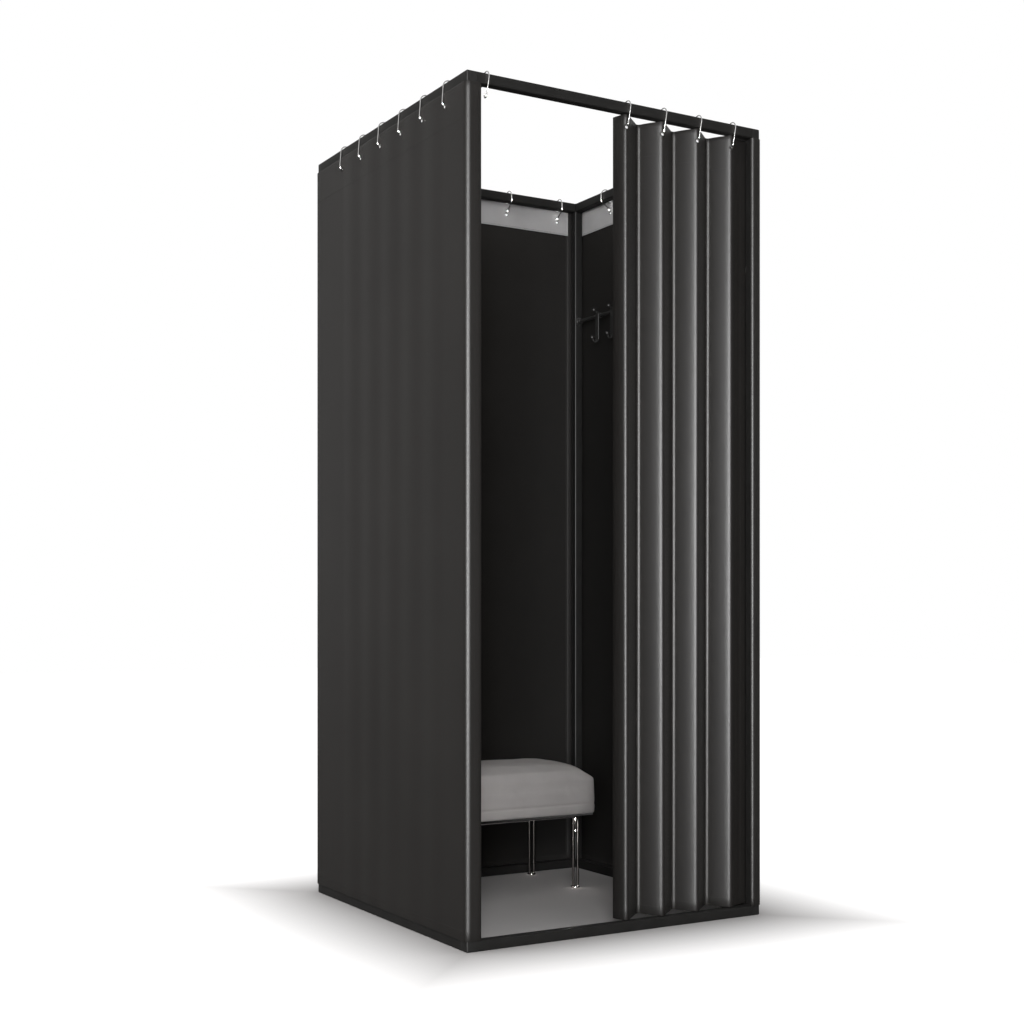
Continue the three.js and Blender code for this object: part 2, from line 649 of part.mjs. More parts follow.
// A leg of two rods on a round foot, with a tapered plug between their tops
function benchLeg (height) {
  const foot = new THREE.LatheGeometry([
    [0, 0],
    [LEG_FOOT / 2 - LEG_EDGE, 0],
    [LEG_FOOT / 2, LEG_EDGE],
    [LEG_FOOT / 2, LEG_FOOT_HEIGHT],
    [0, LEG_FOOT_HEIGHT]
  ].map(point => new THREE.Vector2(...point)), LEG_FOOT_SIDES).rotateX(Math.PI / 2)
  const rodLength = height - LEG_FOOT_HEIGHT / 2
  const rods = [-LEG_SPREAD / 2, LEG_SPREAD / 2].map(x =>
    new THREE.CylinderGeometry(LEG_ROD / 2, LEG_ROD / 2, rodLength, LEG_ROD_SIDES)
      .rotateX(Math.PI / 2)
      .translate(x, 0, height - rodLength / 2))
  const plug = new THREE.CylinderGeometry(PLUG_TOP / 2, PLUG_TIP / 2, PLUG_LENGTH, LEG_ROD_SIDES)
    .rotateX(Math.PI / 2)
    .translate(0, 0, height - PLUG_LENGTH / 2)
  const bead = new THREE.SphereGeometry(PLUG_BEAD, BALL_SIDES + 2, BALL_BANDS)
    .translate(0, 0, height - PLUG_LENGTH)
  return toGeometry(joinSolids([foot, ...rods, plug, bead]))
}

function addBench () {
  const benchY = DEPTH / 2 - BENCH_BACK_INSET - BENCH_DEPTH / 2
  const baseZ = SEAT_UNDERSIDE - SEAT_GAP - BOARD_THICK - LEG_ROD
  const legX = BENCH_LENGTH / 2 - LEG_SIDE_INSET
  const legY = BENCH_DEPTH / 2 - LEG_FRONT_INSET
  const base = benchBase(2 * legX + LEG_SPREAD + LEG_ROD, 2 * legY + LEG_ROD)
  const leg = benchLeg(baseZ - SEAT_GAP)
  add('bench_seat', seatCushion(), finishes.seat, [0, benchY, SEAT_UNDERSIDE])
  add('bench_base', base, finishes.leg, [0, benchY, baseZ])
  for (const [endName, endSign] of ends) {
    for (const [sideName, sideSign] of sides) {
      add(`bench_leg_${endName}_${sideName}`, leg, finishes.leg, [sideSign * legX, benchY + endSign * legY, 0])
    }
  }
}

addFrame()
addConnectors()
addSideCurtain('left_curtain', -1, LEFT_WRAP, LEFT_HEM_TURN, LEFT_HEM_END, false)
addSideCurtain('right_curtain', 1, RIGHT_WRAP, RIGHT_HEM_TURN, RIGHT_HEM_END, true)
addBackCurtain()
addFrontCurtain()
addCurtainHooks()
addCoatRail()
addBench()

export default fittingRoom
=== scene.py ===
# Looks of the portable fitting room: a booth of square steel tube hung with dark curtains on wire hooks,
# with a coat rail and an upholstered bench inside. Metres, +Z up, the front faces -Y.
import math

import bmesh
import bpy
import numpy as np
from mathutils import Matrix, Vector


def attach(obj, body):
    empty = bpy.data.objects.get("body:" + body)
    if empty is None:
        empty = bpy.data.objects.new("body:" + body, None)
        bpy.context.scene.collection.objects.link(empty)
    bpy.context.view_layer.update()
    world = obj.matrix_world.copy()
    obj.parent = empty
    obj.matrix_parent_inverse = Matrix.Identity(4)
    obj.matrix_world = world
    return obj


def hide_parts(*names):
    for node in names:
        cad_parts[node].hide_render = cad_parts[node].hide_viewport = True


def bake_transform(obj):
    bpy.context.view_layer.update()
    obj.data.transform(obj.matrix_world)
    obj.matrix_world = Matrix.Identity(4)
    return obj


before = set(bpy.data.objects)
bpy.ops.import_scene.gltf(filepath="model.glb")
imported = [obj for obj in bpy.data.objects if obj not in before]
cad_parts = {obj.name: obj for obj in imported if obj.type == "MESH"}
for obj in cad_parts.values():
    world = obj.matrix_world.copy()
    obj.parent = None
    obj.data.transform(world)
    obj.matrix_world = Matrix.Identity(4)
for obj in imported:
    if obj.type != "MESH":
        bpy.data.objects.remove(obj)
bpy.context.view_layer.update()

# Booth frame
HALF = 0.425
HEIGHT = 2.0
TUBE = 0.025
TUBE_WALL = 0.0015
TUBE_CORNER = 0.003
TUBE_EASE = 0.0002
SPIGOT = 0.04
SPIGOT_EASE = 0.0015
GAP = 0.0003

POST_AT = HALF - TUBE / 2
LEVELS = [("bottom", TUBE / 2), ("top", HEIGHT - TUBE / 2)]
ENDS = [("front", -1), ("back", 1)]
FLANKS = [("left", -1), ("right", 1)]

# Curtain cloth
CLOTH = 0.0014
HEM = 0.025
HEM_EXTRA = 0.0006
HEM_FADE = 0.0014
RIM = 0.0008
RIM_EASE = 0.0004
WALL_BOTTOM = 0.0255
WALL_TOP = 1.9745
LAP_BOTTOM = 0.012
LAP_TOP = 1.992
HOOK_NOTCH = 0.016
FRONT_BOTTOM = 0.027
FRONT_TOP = 1.973
TAPE = 0.086
TAPE_THICK = 0.0005
TAPE_GAP = 0.00005
EYELET = 0.0045
EYELET_SEWN = 0.0011
EYELET_RISE = 0.0014
EYELET_Z = 1.94315
BACK_OFFSET = 0.0015
SIDE_OFFSET = 0.0038
HOLE_LINES = (0.0017, 0.0052, 0.0105, 0.018)
HOLE_CLEAR = 0.021
STITCH_PITCH = 0.0045
STITCH = 0.0034
THREAD = 0.00045
THREAD_LIFT = 0.0002
WALL_WAVE = 0.0015
WRAP_CORNER = 0.012
# Round a side curtain's front corner: radii, each with the angle in degrees that it reaches
FRONT_CORNER = [(0.0100, 24), (0.0162, 50), (0.0100, 90)]
LEFT_WRAP = 0.040
LEFT_HEM = (0.014, (0.002, 0.006))
RIGHT_WRAP = 0.0275
RIGHT_HEM = (0.008, (0.0, 0.009))
BACK_WRAP = 0.045

# Folds of the front curtain, from the leading edge at the left to the tail behind the right wrap. Stretches
# have a length and then the angles, in degrees, that the cloth turns to.
CREST_Y = -0.419
CREST_COUNT = 4
FIRST_CREST = 0.019
CREST_PITCH = 0.107
CREST_RADIUS = 0.006
AWAY_ANGLE = 40
VALLEY = [(0.0079, 25), (0.0070, 64)]
BACK_ANGLE = 50
CREST_ENTRY = (0.0055, 34)
LEAD = [(0.034, 86, 64), (0.005, 64, 34)]
TAIL = (0.070, 0)
FOLD_GROWTH = 0.05
FOLD_DRIFT = 0.03
FOLD_SWAY = 0.0018

# Curtain hooks of bent wire
WIRE = 0.003
HOOK_SLACK = 0.0025
HOOK_CURL = 0.0055
OUTER_BALL = 0.0028
INNER_BALL = 0.0026
BALL_STEPS = 7
SIDE_HOOKS = [-0.325, -0.209, -0.093, 0.023, 0.139, 0.255]
BACK_HOOKS = [-0.350, -0.175, 0.0, 0.175, 0.350]
CRESTS = [FIRST_CREST + i * CREST_PITCH for i in range(CREST_COUNT)]
STOP_HOOK = -0.3735

# Coat rail
COAT_BAR = 0.010
COAT_Z = 1.645
COAT_X = 0.4125
COAT_HOOKS = [0.291, 0.213, 0.135, 0.057]

# Bench
SEAT_LENGTH = 0.570
SEAT_DEPTH = 0.305
SEAT_Y = 0.2475
SEAT_UNDERSIDE = 0.208
SEAT_SIDE = 0.107
SEAT_CROWN = 0.0375
SEAT_SEAM = 0.028
SEAT_VOXEL = 0.006
SEAT_SWELLING = 0.0025
SWELLING_STEPS = 20
LEG_X = 0.225
LEG_Y = 0.1185
ROD = 0.007
ROD_SPREAD = 0.015
BEAD = 0.0045
BOARD = 0.005
BOARD_INSET = 0.028

# Stage and shading
FLOOR = 15
WAVE_NODE_PERIODS = 20
CLOTH_TONES = (0.0230, 0.0213, 0.0199), (0.0273, 0.0254, 0.0237)


# Meshes

def mesh_of(name, vertices, faces, uv=None, sharp=35):
    """A smooth shaded mesh with sharp edges above an angle, and with one pair of texture lengths a vertex."""
    used = sorted({corner for face in faces for corner in face})
    place = {old: new for new, old in enumerate(used)}
    made = bpy.data.meshes.new(name)
    made.from_pydata([tuple(vertices[i]) for i in used], [], [[place[i] for i in face] for face in faces])
    if uv is not None:
        layer = made.uv_layers.new(name="UVMap")
        corners = np.zeros(len(made.loops), int)
        made.loops.foreach_get("vertex_index", corners)
        layer.data.foreach_set("uv", np.asarray(uv)[used][corners].astype(np.float32).ravel())
    made.update()
    return smoothed(made, sharp)


def smoothed(mesh, sharp=35):
    """The mesh with smooth shading, and with sharp edges above an angle."""
    mesh.polygons.foreach_set("use_smooth", [True] * len(mesh.polygons))
    mesh.set_sharp_from_angle(angle=math.radians(sharp))
    return mesh


def outward(mesh):
    """The mesh with its faces turned outward."""
    shell = bmesh.new()
    shell.from_mesh(mesh)
    bmesh.ops.recalc_face_normals(shell, faces=shell.faces)
    shell.to_mesh(mesh)
    shell.free()
    return mesh


def mesh_from(name, shell):
    made = bpy.data.meshes.new(name)
    shell.to_mesh(made)
    shell.free()
    return made


def numbered(rings, count):
    """The corners of rings that follow each other, with the same count in each."""
    return [range(ring * count, (ring + 1) * count) for ring in range(rings)]


def bridge(rings, closed=False, turned=False):
    """Faces between neighbouring rings of corners. A corner that repeats, as at a pole, is left out."""
    faces = []
    for low, high in zip(rings, rings[1:] + rings[:1] if closed else rings[1:]):
        for i in range(len(low)):
            j = (i + 1) % len(low)
            face = [low[j], low[i], high[i], high[j]] if turned else [low[i], low[j], high[j], high[i]]
            face = [corner for k, corner in enumerate(face) if corner != face[k - 1]]
            if len(face) > 2:
                faces.append(face)
    return faces


def add(name, data):
    """A new object in the scene."""
    made = bpy.data.objects.new(name, data)
    bpy.context.scene.collection.objects.link(made)
    return made


def piece(name, ending, mesh, finish, body="booth", stands_in=True):
    """A piece of the object that rides on a body and may stand in for the CAD part with its name."""
    made = add(f"{name}_{ending}", mesh)
    if not mesh.materials:
        mesh.materials.append(finish)
    if body:
        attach(made, body)
    if stands_in:
        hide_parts(name)
    return made


def at(x, y, z, turn=0, axis="Z"):
    """A turn about an axis, then a move to a place."""
    return Matrix.Translation((x, y, z)) @ Matrix.Rotation(turn, 4, axis)


def placed(mesh, matrix):
    copy = mesh.copy()
    copy.transform(matrix)
    return copy


def rounded_square(side, radius):
    """Corner points of a square with rounded corners, anticlockwise."""
    half = side / 2 - radius
    points, steps = [], 6
    for quarter, (sx, sy) in enumerate([(1, 1), (-1, 1), (-1, -1), (1, -1)]):
        for i in range(steps + 1):
            angle = math.pi / 2 * (quarter + i / steps)
            points.append((sx * half + radius * math.cos(angle), sy * half + radius * math.sin(angle)))
    return points


def tube_mesh(name, length):
    """An open square tube along Z, middle at the origin."""
    outer = rounded_square(TUBE, TUBE_CORNER)
    inner = rounded_square(TUBE - 2 * TUBE_WALL, TUBE_CORNER - TUBE_WALL)
    shrink = 1 - 2 * TUBE_EASE / TUBE
    lip = [(x * shrink, y * shrink) for x, y in outer]
    half = length / 2
    rings = [(outer, TUBE_EASE - half), (outer, half - TUBE_EASE), (lip, half), (inner, half), (inner, -half),
             (lip, -half)]
    vertices = [(x, y, z) for ring, z in rings for x, y in ring]
    return mesh_of(name, vertices, bridge(numbered(len(rings), len(outer)), closed=True))


def ringed(stations, sides):
    """Corners and rings at stations, each a centre, a radius (zero for a pole) and two ways across."""
    vertices, rings = [], []
    for centre, radius, side, up in stations:
        if radius == 0:
            rings.append([len(vertices)] * sides)
            vertices.append(centre)
            continue
        rings.append([len(vertices) + i for i in range(sides)])
        for i in range(sides):
            angle = 2 * math.pi * i / sides
            vertices.append(centre + radius * (math.cos(angle) * side + math.sin(angle) * up))
    return vertices, rings


def lathe(name, profile, sides=32, sharp=35):
    """A solid turned about Z, from radius and height pairs."""
    side, up, axis = np.eye(3)
    vertices, rings = ringed([(height * axis, radius, side, up) for radius, height in profile], sides)
    return mesh_of(name, vertices, bridge(rings), sharp=sharp)


def round_bar(radius, low, high, ease):
    """Profile of a bar along Z with eased ends."""
    return [(0, low), (radius - ease, low), (radius, low + ease),
            (radius, high - ease), (radius - ease, high), (0, high)]


def sweep(name, points, radii, across, sides=12):
    """A round bar along a line in a plane that has across as its normal."""
    along = np.gradient(np.array(points), axis=0)
    along /= np.linalg.norm(along, axis=1)[:, None]
    across = np.array(across)
    vertices, rings = ringed([(point, radius, side, across) for point, radius, side
                              in zip(points, radii, np.cross(across, along))], sides)
    return outward(mesh_of(name, vertices, bridge(rings, turned=True), sharp=50))


def ball_end(points, ball, wire, steps=BALL_STEPS):
    """Radii and points for a line that starts in a ball: the points up to the ball's edge are replaced."""
    points = np.asarray(points, float)
    heading = points[1] - points[0]
    heading /= np.linalg.norm(heading)
    neck = math.asin(wire / ball)
    angles = np.linspace(0, math.pi - neck, steps + 1)
    centre = points[0]
    front = [centre - heading * ball * math.cos(angle) for angle in angles]
    radii = [ball * math.sin(angle) for angle in angles]
    radii[0] = 0
    reach = ball * math.cos(neck)
    rest = [p for p in points[1:] if np.linalg.norm(p - centre) > reach + 0.0003]
    return front + rest, radii + [wire] * len(rest)


def evaluated(obj):
    """The mesh of an object with its modifiers applied."""
    view = bpy.context.evaluated_depsgraph_get()
    return bpy.data.meshes.new_from_object(obj.evaluated_get(view))


def union(name, parts, cuts=()):
    """The parts as one closed solid, less the cuts."""
    whole = add(name, parts[0])
    tools = []
    for part, operation in [(p, "UNION") for p in parts[1:]] + [(p, "DIFFERENCE") for p in cuts]:
        tool = add("tool", part)
        tools.append(tool)
        step = whole.modifiers.new(operation, "BOOLEAN")
        step.operation = operation
        step.object = tool
        step.solver = "EXACT"
    made = evaluated(whole)
    made.name = name
    for spare in [whole, *tools]:
        bpy.data.objects.remove(spare)
    return smoothed(made, 40)


# Materials

def node(tree, kind, inputs=None, **settings):
    """A shader node, with its inputs linked or set to a value."""
    made = tree.nodes.new("ShaderNode" + kind)
    for name, value in settings.items():
        setattr(made, name, value)
    for name, value in (inputs or {}).items():
        socket = made.inputs[name]
        if isinstance(value, bpy.types.NodeSocket):
            tree.links.new(value, socket)
        else:
            socket.default_value = value
    return made


def shade(name, **constants):
    """A material and its tree, with constant values set on the shader."""
    made = bpy.data.materials.new(name)
    made.use_nodes = True
    shader = made.node_tree.nodes["Principled BSDF"]
    for socket, value in constants.items():
        shader.inputs[socket.replace("_", " ")].default_value = value
    return made, made.node_tree, shader


def noise(tree, vector, scale, detail=2.0):
    made = node(tree, "TexNoise", {"Vector": vector, "Scale": scale, "Detail": detail})
    return made.outputs["Fac"]


def mottled(tree, shader, dark, light, scale, detail=4.0, coordinate="Object"):
    """Base colour that drifts between two colours. Returns the texture's place."""
    vector = node(tree, "TexCoord").outputs[coordinate]
    ramp = node(tree, "ValToRGB", {"Fac": noise(tree, vector, scale, detail)})
    for stop, position, colour in zip(ramp.color_ramp.elements, (0.3, 0.7), (dark, light)):
        stop.position = position
        stop.color = (*colour, 1)
    tree.links.new(ramp.outputs[0], shader.inputs["Base Color"])
    return vector


def ranged_roughness(tree, shader, value, low, high):
    span = node(tree, "MapRange", {"Value": value, "To Min": low, "To Max": high})
    tree.links.new(span.outputs[0], shader.inputs["Roughness"])


def bumped(tree, shader, height, distance, strength):
    bump = node(tree, "Bump", {"Height": height, "Distance": distance, "Strength": strength})
    tree.links.new(bump.outputs[0], shader.inputs["Normal"])


def weave_height(tree, vector, pitch):
    """Height of a plain weave, with threads a pitch apart along both texture lengths."""
    period = 2 * math.pi / WAVE_NODE_PERIODS
    waves = {"Vector": vector, "Scale": period / pitch}
    warp, weft = (node(tree, "TexWave", waves, bands_direction=way) for way in "XY")
    turn = node(tree, "TexChecker", {"Vector": vector, "Scale": 1 / pitch})
    return node(tree, "Mix", {0: turn.outputs["Fac"], 2: warp.outputs["Fac"],
                                        3: weft.outputs["Fac"]}).outputs[0]


def painted(name, dark, light, scale, low, high, grain, shine):
    """Paint or plastic: a colour that drifts a little, uneven gloss and a fine orange-peel grain."""
    made, tree, shader = shade(name, Specular_IOR_Level=shine)
    vector = mottled(tree, shader, dark, light, scale)
    ranged_roughness(tree, shader, noise(tree, vector, scale * 2, 3.0), low, high)
    bumped(tree, shader, noise(tree, vector, grain, 1.0), 0.0001, 0.5)
    return made


def woven(name, dark, light, pitch, distance, rough, shine, scale=3.0, coordinate="UV"):
    """Cloth: colours that drift over a large scale, threads as bumps, and a rougher thread valley."""
    made, tree, shader = shade(name, Specular_IOR_Level=shine)
    vector = mottled(tree, shader, dark, light, scale, 6.0, coordinate)
    height = weave_height(tree, vector, pitch)
    ranged_roughness(tree, shader, height, rough + 0.08, rough - 0.04)
    bumped(tree, shader, height, distance, 0.5)
    return made


def bare_metal(name, dark, light, low, high, scale):
    """Bright metal, a little cloudy, with faint ripples."""
    made, tree, shader = shade(name, Metallic=1.0)
    vector = mottled(tree, shader, dark, light, scale, 3.0)
    ranged_roughness(tree, shader, noise(tree, vector, scale * 3, 3.0), low, high)
    bumped(tree, shader, noise(tree, vector, scale * 8), 0.00002, 0.6)
    return made


coat = painted("powder_coat", (0.0205, 0.0200, 0.0192), (0.0245, 0.0238, 0.0228), 14, 0.36, 0.50, 900, 0.02)
plastic = painted("connector_plastic", (0.0180, 0.0176, 0.0170), (0.0215, 0.0210, 0.0202), 60, 0.42, 0.55,
                  1600, 0.03)
cloth_finish = woven("curtain_cloth", *CLOTH_TONES, 0.0011, 0.00012, 0.36, 0.03)
tape_finish = woven("header_tape", (0.50, 0.49, 0.49), (0.60, 0.59, 0.59), 0.0016, 0.0002, 0.8, 0.02, 8.0)
thread_finish = woven("dark_thread", *CLOTH_TONES, 0.0006, 0.00005, 0.6, 0.03, 50.0, "Object")
wire_finish = bare_metal("bright_wire", (0.34, 0.335, 0.33), (0.46, 0.455, 0.45), 0.09, 0.14, 160)
dark_finish = painted("black_steel", (0.040, 0.039, 0.038), (0.055, 0.054, 0.053), 90, 0.38, 0.50, 1200, 0.03)
# Painted reflection: the legs' chrome has a very dark colour that stands in for the dark inside of the booth
# that it reflects; the base rods keep a bright chrome.
leg_finish_painted_dark = bare_metal("leg_chrome_painted_dark", (0.09, 0.081, 0.078), (0.14, 0.13, 0.124), 0.08, 0.13, 40)
base_finish = bare_metal("chromed_base", (0.42, 0.40, 0.39), (0.50, 0.48, 0.47), 0.12, 0.20, 40)
board_finish = woven("board_cover", (0.020, 0.0195, 0.019), (0.026, 0.0255, 0.025), 0.0012, 0.0001, 0.7, 0.05,
                     20.0, "Object")
seat_finish = woven("pale_fabric", (0.62, 0.588, 0.575), (0.70, 0.665, 0.65), 0.0018, 0.00025, 0.8, 0.02, 9.0,
                    "Object")


# Frame tubes and corner connectors

def build_frame():
    post = tube_mesh("post_tube", HEIGHT - 2 * (TUBE + GAP))
    rail = tube_mesh("rail_tube", 2 * HALF - 2 * (TUBE + GAP))
    quarter = math.pi / 2
    spots = [(f"post_{end}_{flank}", post, at(sx * POST_AT, sy * POST_AT, HEIGHT / 2))
             for end, sy in ENDS for flank, sx in FLANKS]
    for level, z in LEVELS:
        spots += [(f"rail_{level}_{end}", rail, at(0, sy * POST_AT, z, quarter, "Y")) for end, sy in ENDS]
        spots += [(f"rail_{level}_{side}", rail, at(sx * POST_AT, 0, z, quarter, "X")) for side, sx in FLANKS]
    for name, tube, matrix in spots:
        piece(name, "tube", placed(tube, matrix), coat)


def connector_mesh():
    """A block at the outer corner towards +X, +Y, +Z, with spigots towards the other way."""
    shell = bmesh.new()
    bmesh.ops.create_cube(shell, size=TUBE)
    outer = [e for e in shell.edges if sum(all(v.co[k] > 0 for v in e.verts) for k in range(3)) == 2]
    bmesh.ops.bevel(shell, geom=outer, offset=TUBE_CORNER, segments=5, affect="EDGES", profile=0.5)
    ways = [Vector(-axis) for axis in np.eye(3)]
    flats = [max(shell.faces, key=lambda f: f.normal.dot(way) * f.calc_area()) for way in ways]
    for way, face in zip(ways, flats):
        bmesh.ops.inset_individual(shell, faces=[face], thickness=TUBE_WALL + GAP)
        for depth, tapered in ((SPIGOT - SPIGOT_EASE, False), (SPIGOT_EASE, True)):
            if tapered:
                bmesh.ops.inset_individual(shell, faces=[face], thickness=0.0)
            face = bmesh.ops.extrude_discrete_faces(shell, faces=[face])["faces"][0]
            bmesh.ops.translate(shell, verts=face.verts, vec=way * depth)
            if tapered:
                middle = face.calc_center_median()
                for v in face.verts:
                    v.co = middle + (v.co - middle) * (1 - 2 * SPIGOT_EASE / TUBE)
    bmesh.ops.remove_doubles(shell, verts=shell.verts, dist=0.00001)
    bmesh.ops.recalc_face_normals(shell, faces=shell.faces)
    return smoothed(mesh_from("connector", shell))


def build_connectors():
    block = connector_mesh()
    for level, z in LEVELS:
        for end, sy in ENDS:
            for flank, sx in FLANKS:
                up = -1 if level == "bottom" else 1
                flip = Matrix.Diagonal((sx, sy, up, 1))
                made = placed(block, at(sx * POST_AT, sy * POST_AT, z) @ flip)
                if sx * sy * up < 0:
                    made.flip_normals()
                piece(f"corner_{level}_{end}_{flank}", "block", made, plastic)


# Curtains

def arc(cx, cy, radius, start, end, steps=24):
    angles = np.radians(np.linspace(start, end, steps + 1))
    return [(cx + radius * math.cos(a), cy + radius * math.sin(a)) for a in angles]


class Run:
    """A line seen from above that cloth follows, by length along it."""

    def __init__(self, points):
        self.points = np.asarray(points, float)
        steps = np.linalg.norm(np.diff(self.points, axis=0), axis=1)
        self.lengths = np.concatenate([[0], np.cumsum(steps)])
        self.total = self.lengths[-1]

    def at(self, s):
        return np.interp(s, self.lengths, self.points[:, 0]), np.interp(s, self.lengths, self.points[:, 1])


def cloth_marks(total, step, fine=(), holes=()):
    """Lengths for a grid: even steps, finer stretches, and eight lines about each hole."""
    marks = list(np.linspace(0, total, max(2, round(total / step) + 1)))
    for start, end, small in fine:
        marks = [m for m in marks if not start - 0.4 * small < m < end + 0.4 * small]
        marks += list(np.linspace(start, end, max(2, round((end - start) / small) + 1)))
    for hole in holes:
        marks = [m for m in marks if abs(m - hole) > HOLE_CLEAR]
        marks += [hole + sign * line for line in HOLE_LINES for sign in (-1, 1)]
    return np.array(sorted(set(round(float(m), 7) for m in marks)))


def cloth_mesh(name, place, columns, rows, holes, outer, inner):
    """Two faces of cloth and its rim. Place gives a point for a length and a height, outer and inner its
    distances to the faces, and each hole is a round one in three by three cells."""
    s, z = np.meshgrid(columns, rows, indexing="ij")
    opened = np.zeros((len(columns) - 1, len(rows) - 1), bool)
    for centre, level, radius in holes:
        i = int(np.searchsorted(columns, centre)) - 2
        j = int(np.searchsorted(rows, level)) - 2
        opened[i:i + 3, j:j + 3] = True
        for a in range(4):
            for b in range(4):
                if a in (0, 3) or b in (0, 3):
                    twelfth = math.pi / 6
                    angle = (math.floor(math.atan2(b - 1.5, a - 1.5) / twelfth) + 0.5) * twelfth
                    s[i + a, j + b] = centre + radius * math.cos(angle)
                    z[i + a, j + b] = level + radius * math.sin(angle)
    point, normal = cloth_point(place, s, z)
    front = (point + normal * outer(s, z)[..., None]).reshape(-1, 3)
    back = (point - normal * inner(s, z)[..., None]).reshape(-1, 3)
    count = len(front)
    height = len(rows)
    faces, edges = [], {}
    for i, j in zip(*np.nonzero(~opened)):
        a, b = i * height + j, (i + 1) * height + j
        face = (a, b, b + 1, a + 1)
        faces += [face, tuple(count + corner for corner in reversed(face))]
        edges.update(dict.fromkeys(zip(face, face[1:] + face[:1])))
    faces += [(b, a, count + a, count + b) for a, b in edges if (b, a) not in edges]
    uv = np.stack([s.ravel(), z.ravel()], axis=1)
    return mesh_of(name, np.concatenate([front, back]), faces, np.concatenate([uv, uv]), 40)


def cloth_point(place, s, z):
    """Points and outward normals of a cloth's middle."""
    tiny = 0.0004
    point = np.stack(place(s, z), axis=-1)
    along = np.stack(place(s + tiny, z), axis=-1) - np.stack(place(s - tiny, z), axis=-1)
    up = np.stack(place(s, z + tiny), axis=-1) - np.stack(place(s, z - tiny), axis=-1)
    normal = np.cross(along, up)
    normal /= np.linalg.norm(normal, axis=-1)[..., None]
    return point, normal


def stitch_mesh(name, place, lines):
    """Stitches along lines, each with its two ends as length and height, and its distance from the middle."""
    vertices, faces = [], []
    for start, end, offset in lines:
        start, end = np.array(start), np.array(end)
        run = np.linalg.norm(end - start)
        count = max(1, int(run / STITCH_PITCH))
        share = (np.arange(count) + 0.5) / count
        half = STITCH / 2 / run
        a, normal = cloth_point(place, *(start + (end - start) * (share - half)[:, None]).T)
        b, _ = cloth_point(place, *(start + (end - start) * (share + half)[:, None]).T)
        a, b = a + normal * offset, b + normal * offset
        out = normal * np.sign(offset)
        side = np.cross(b - a, out)
        side /= np.linalg.norm(side, axis=1)[:, None]
        middle = (a + b) / 2
        for k in range(count):
            base = len(vertices)
            vertices += [a[k], middle[k] + side[k] * THREAD, middle[k] + out[k] * (THREAD_LIFT + THREAD),
                         middle[k] - side[k] * THREAD, middle[k] - out[k] * THREAD_LIFT, b[k]]
            for m, n in ((1, 2), (2, 3), (3, 4), (4, 1)):
                faces += [(base, base + n, base + m), (base + 5, base + m, base + n)]
    return mesh_of(name, vertices, faces, sharp=180)


def ring_mesh(name, place, holes):
    """Sewn edges of the holes: rounded rings that follow the cloth."""
    vertices, faces = [], []
    sides, around = 8, 20
    for centre, level, radius in holes:
        base = len(vertices)
        middle = radius + EYELET_SEWN
        for i in range(around):
            turn = 2 * math.pi * i / around
            for k in range(sides):
                small = 2 * math.pi * k / sides
                r = middle + EYELET_SEWN * math.cos(small)
                s, z = centre + r * math.cos(turn), level + r * math.sin(turn)
                point, normal = cloth_point(place, np.array([s]), np.array([z]))
                vertices.append(point[0] + normal[0] * EYELET_RISE * math.sin(small))
        for i in range(around):
            a, b = base + i * sides, base + (i + 1) % around * sides
            faces += [(a + k, b + k, b + (k + 1) % sides, a + (k + 1) % sides) for k in range(sides)]
    return mesh_of(name, vertices, faces, sharp=180)


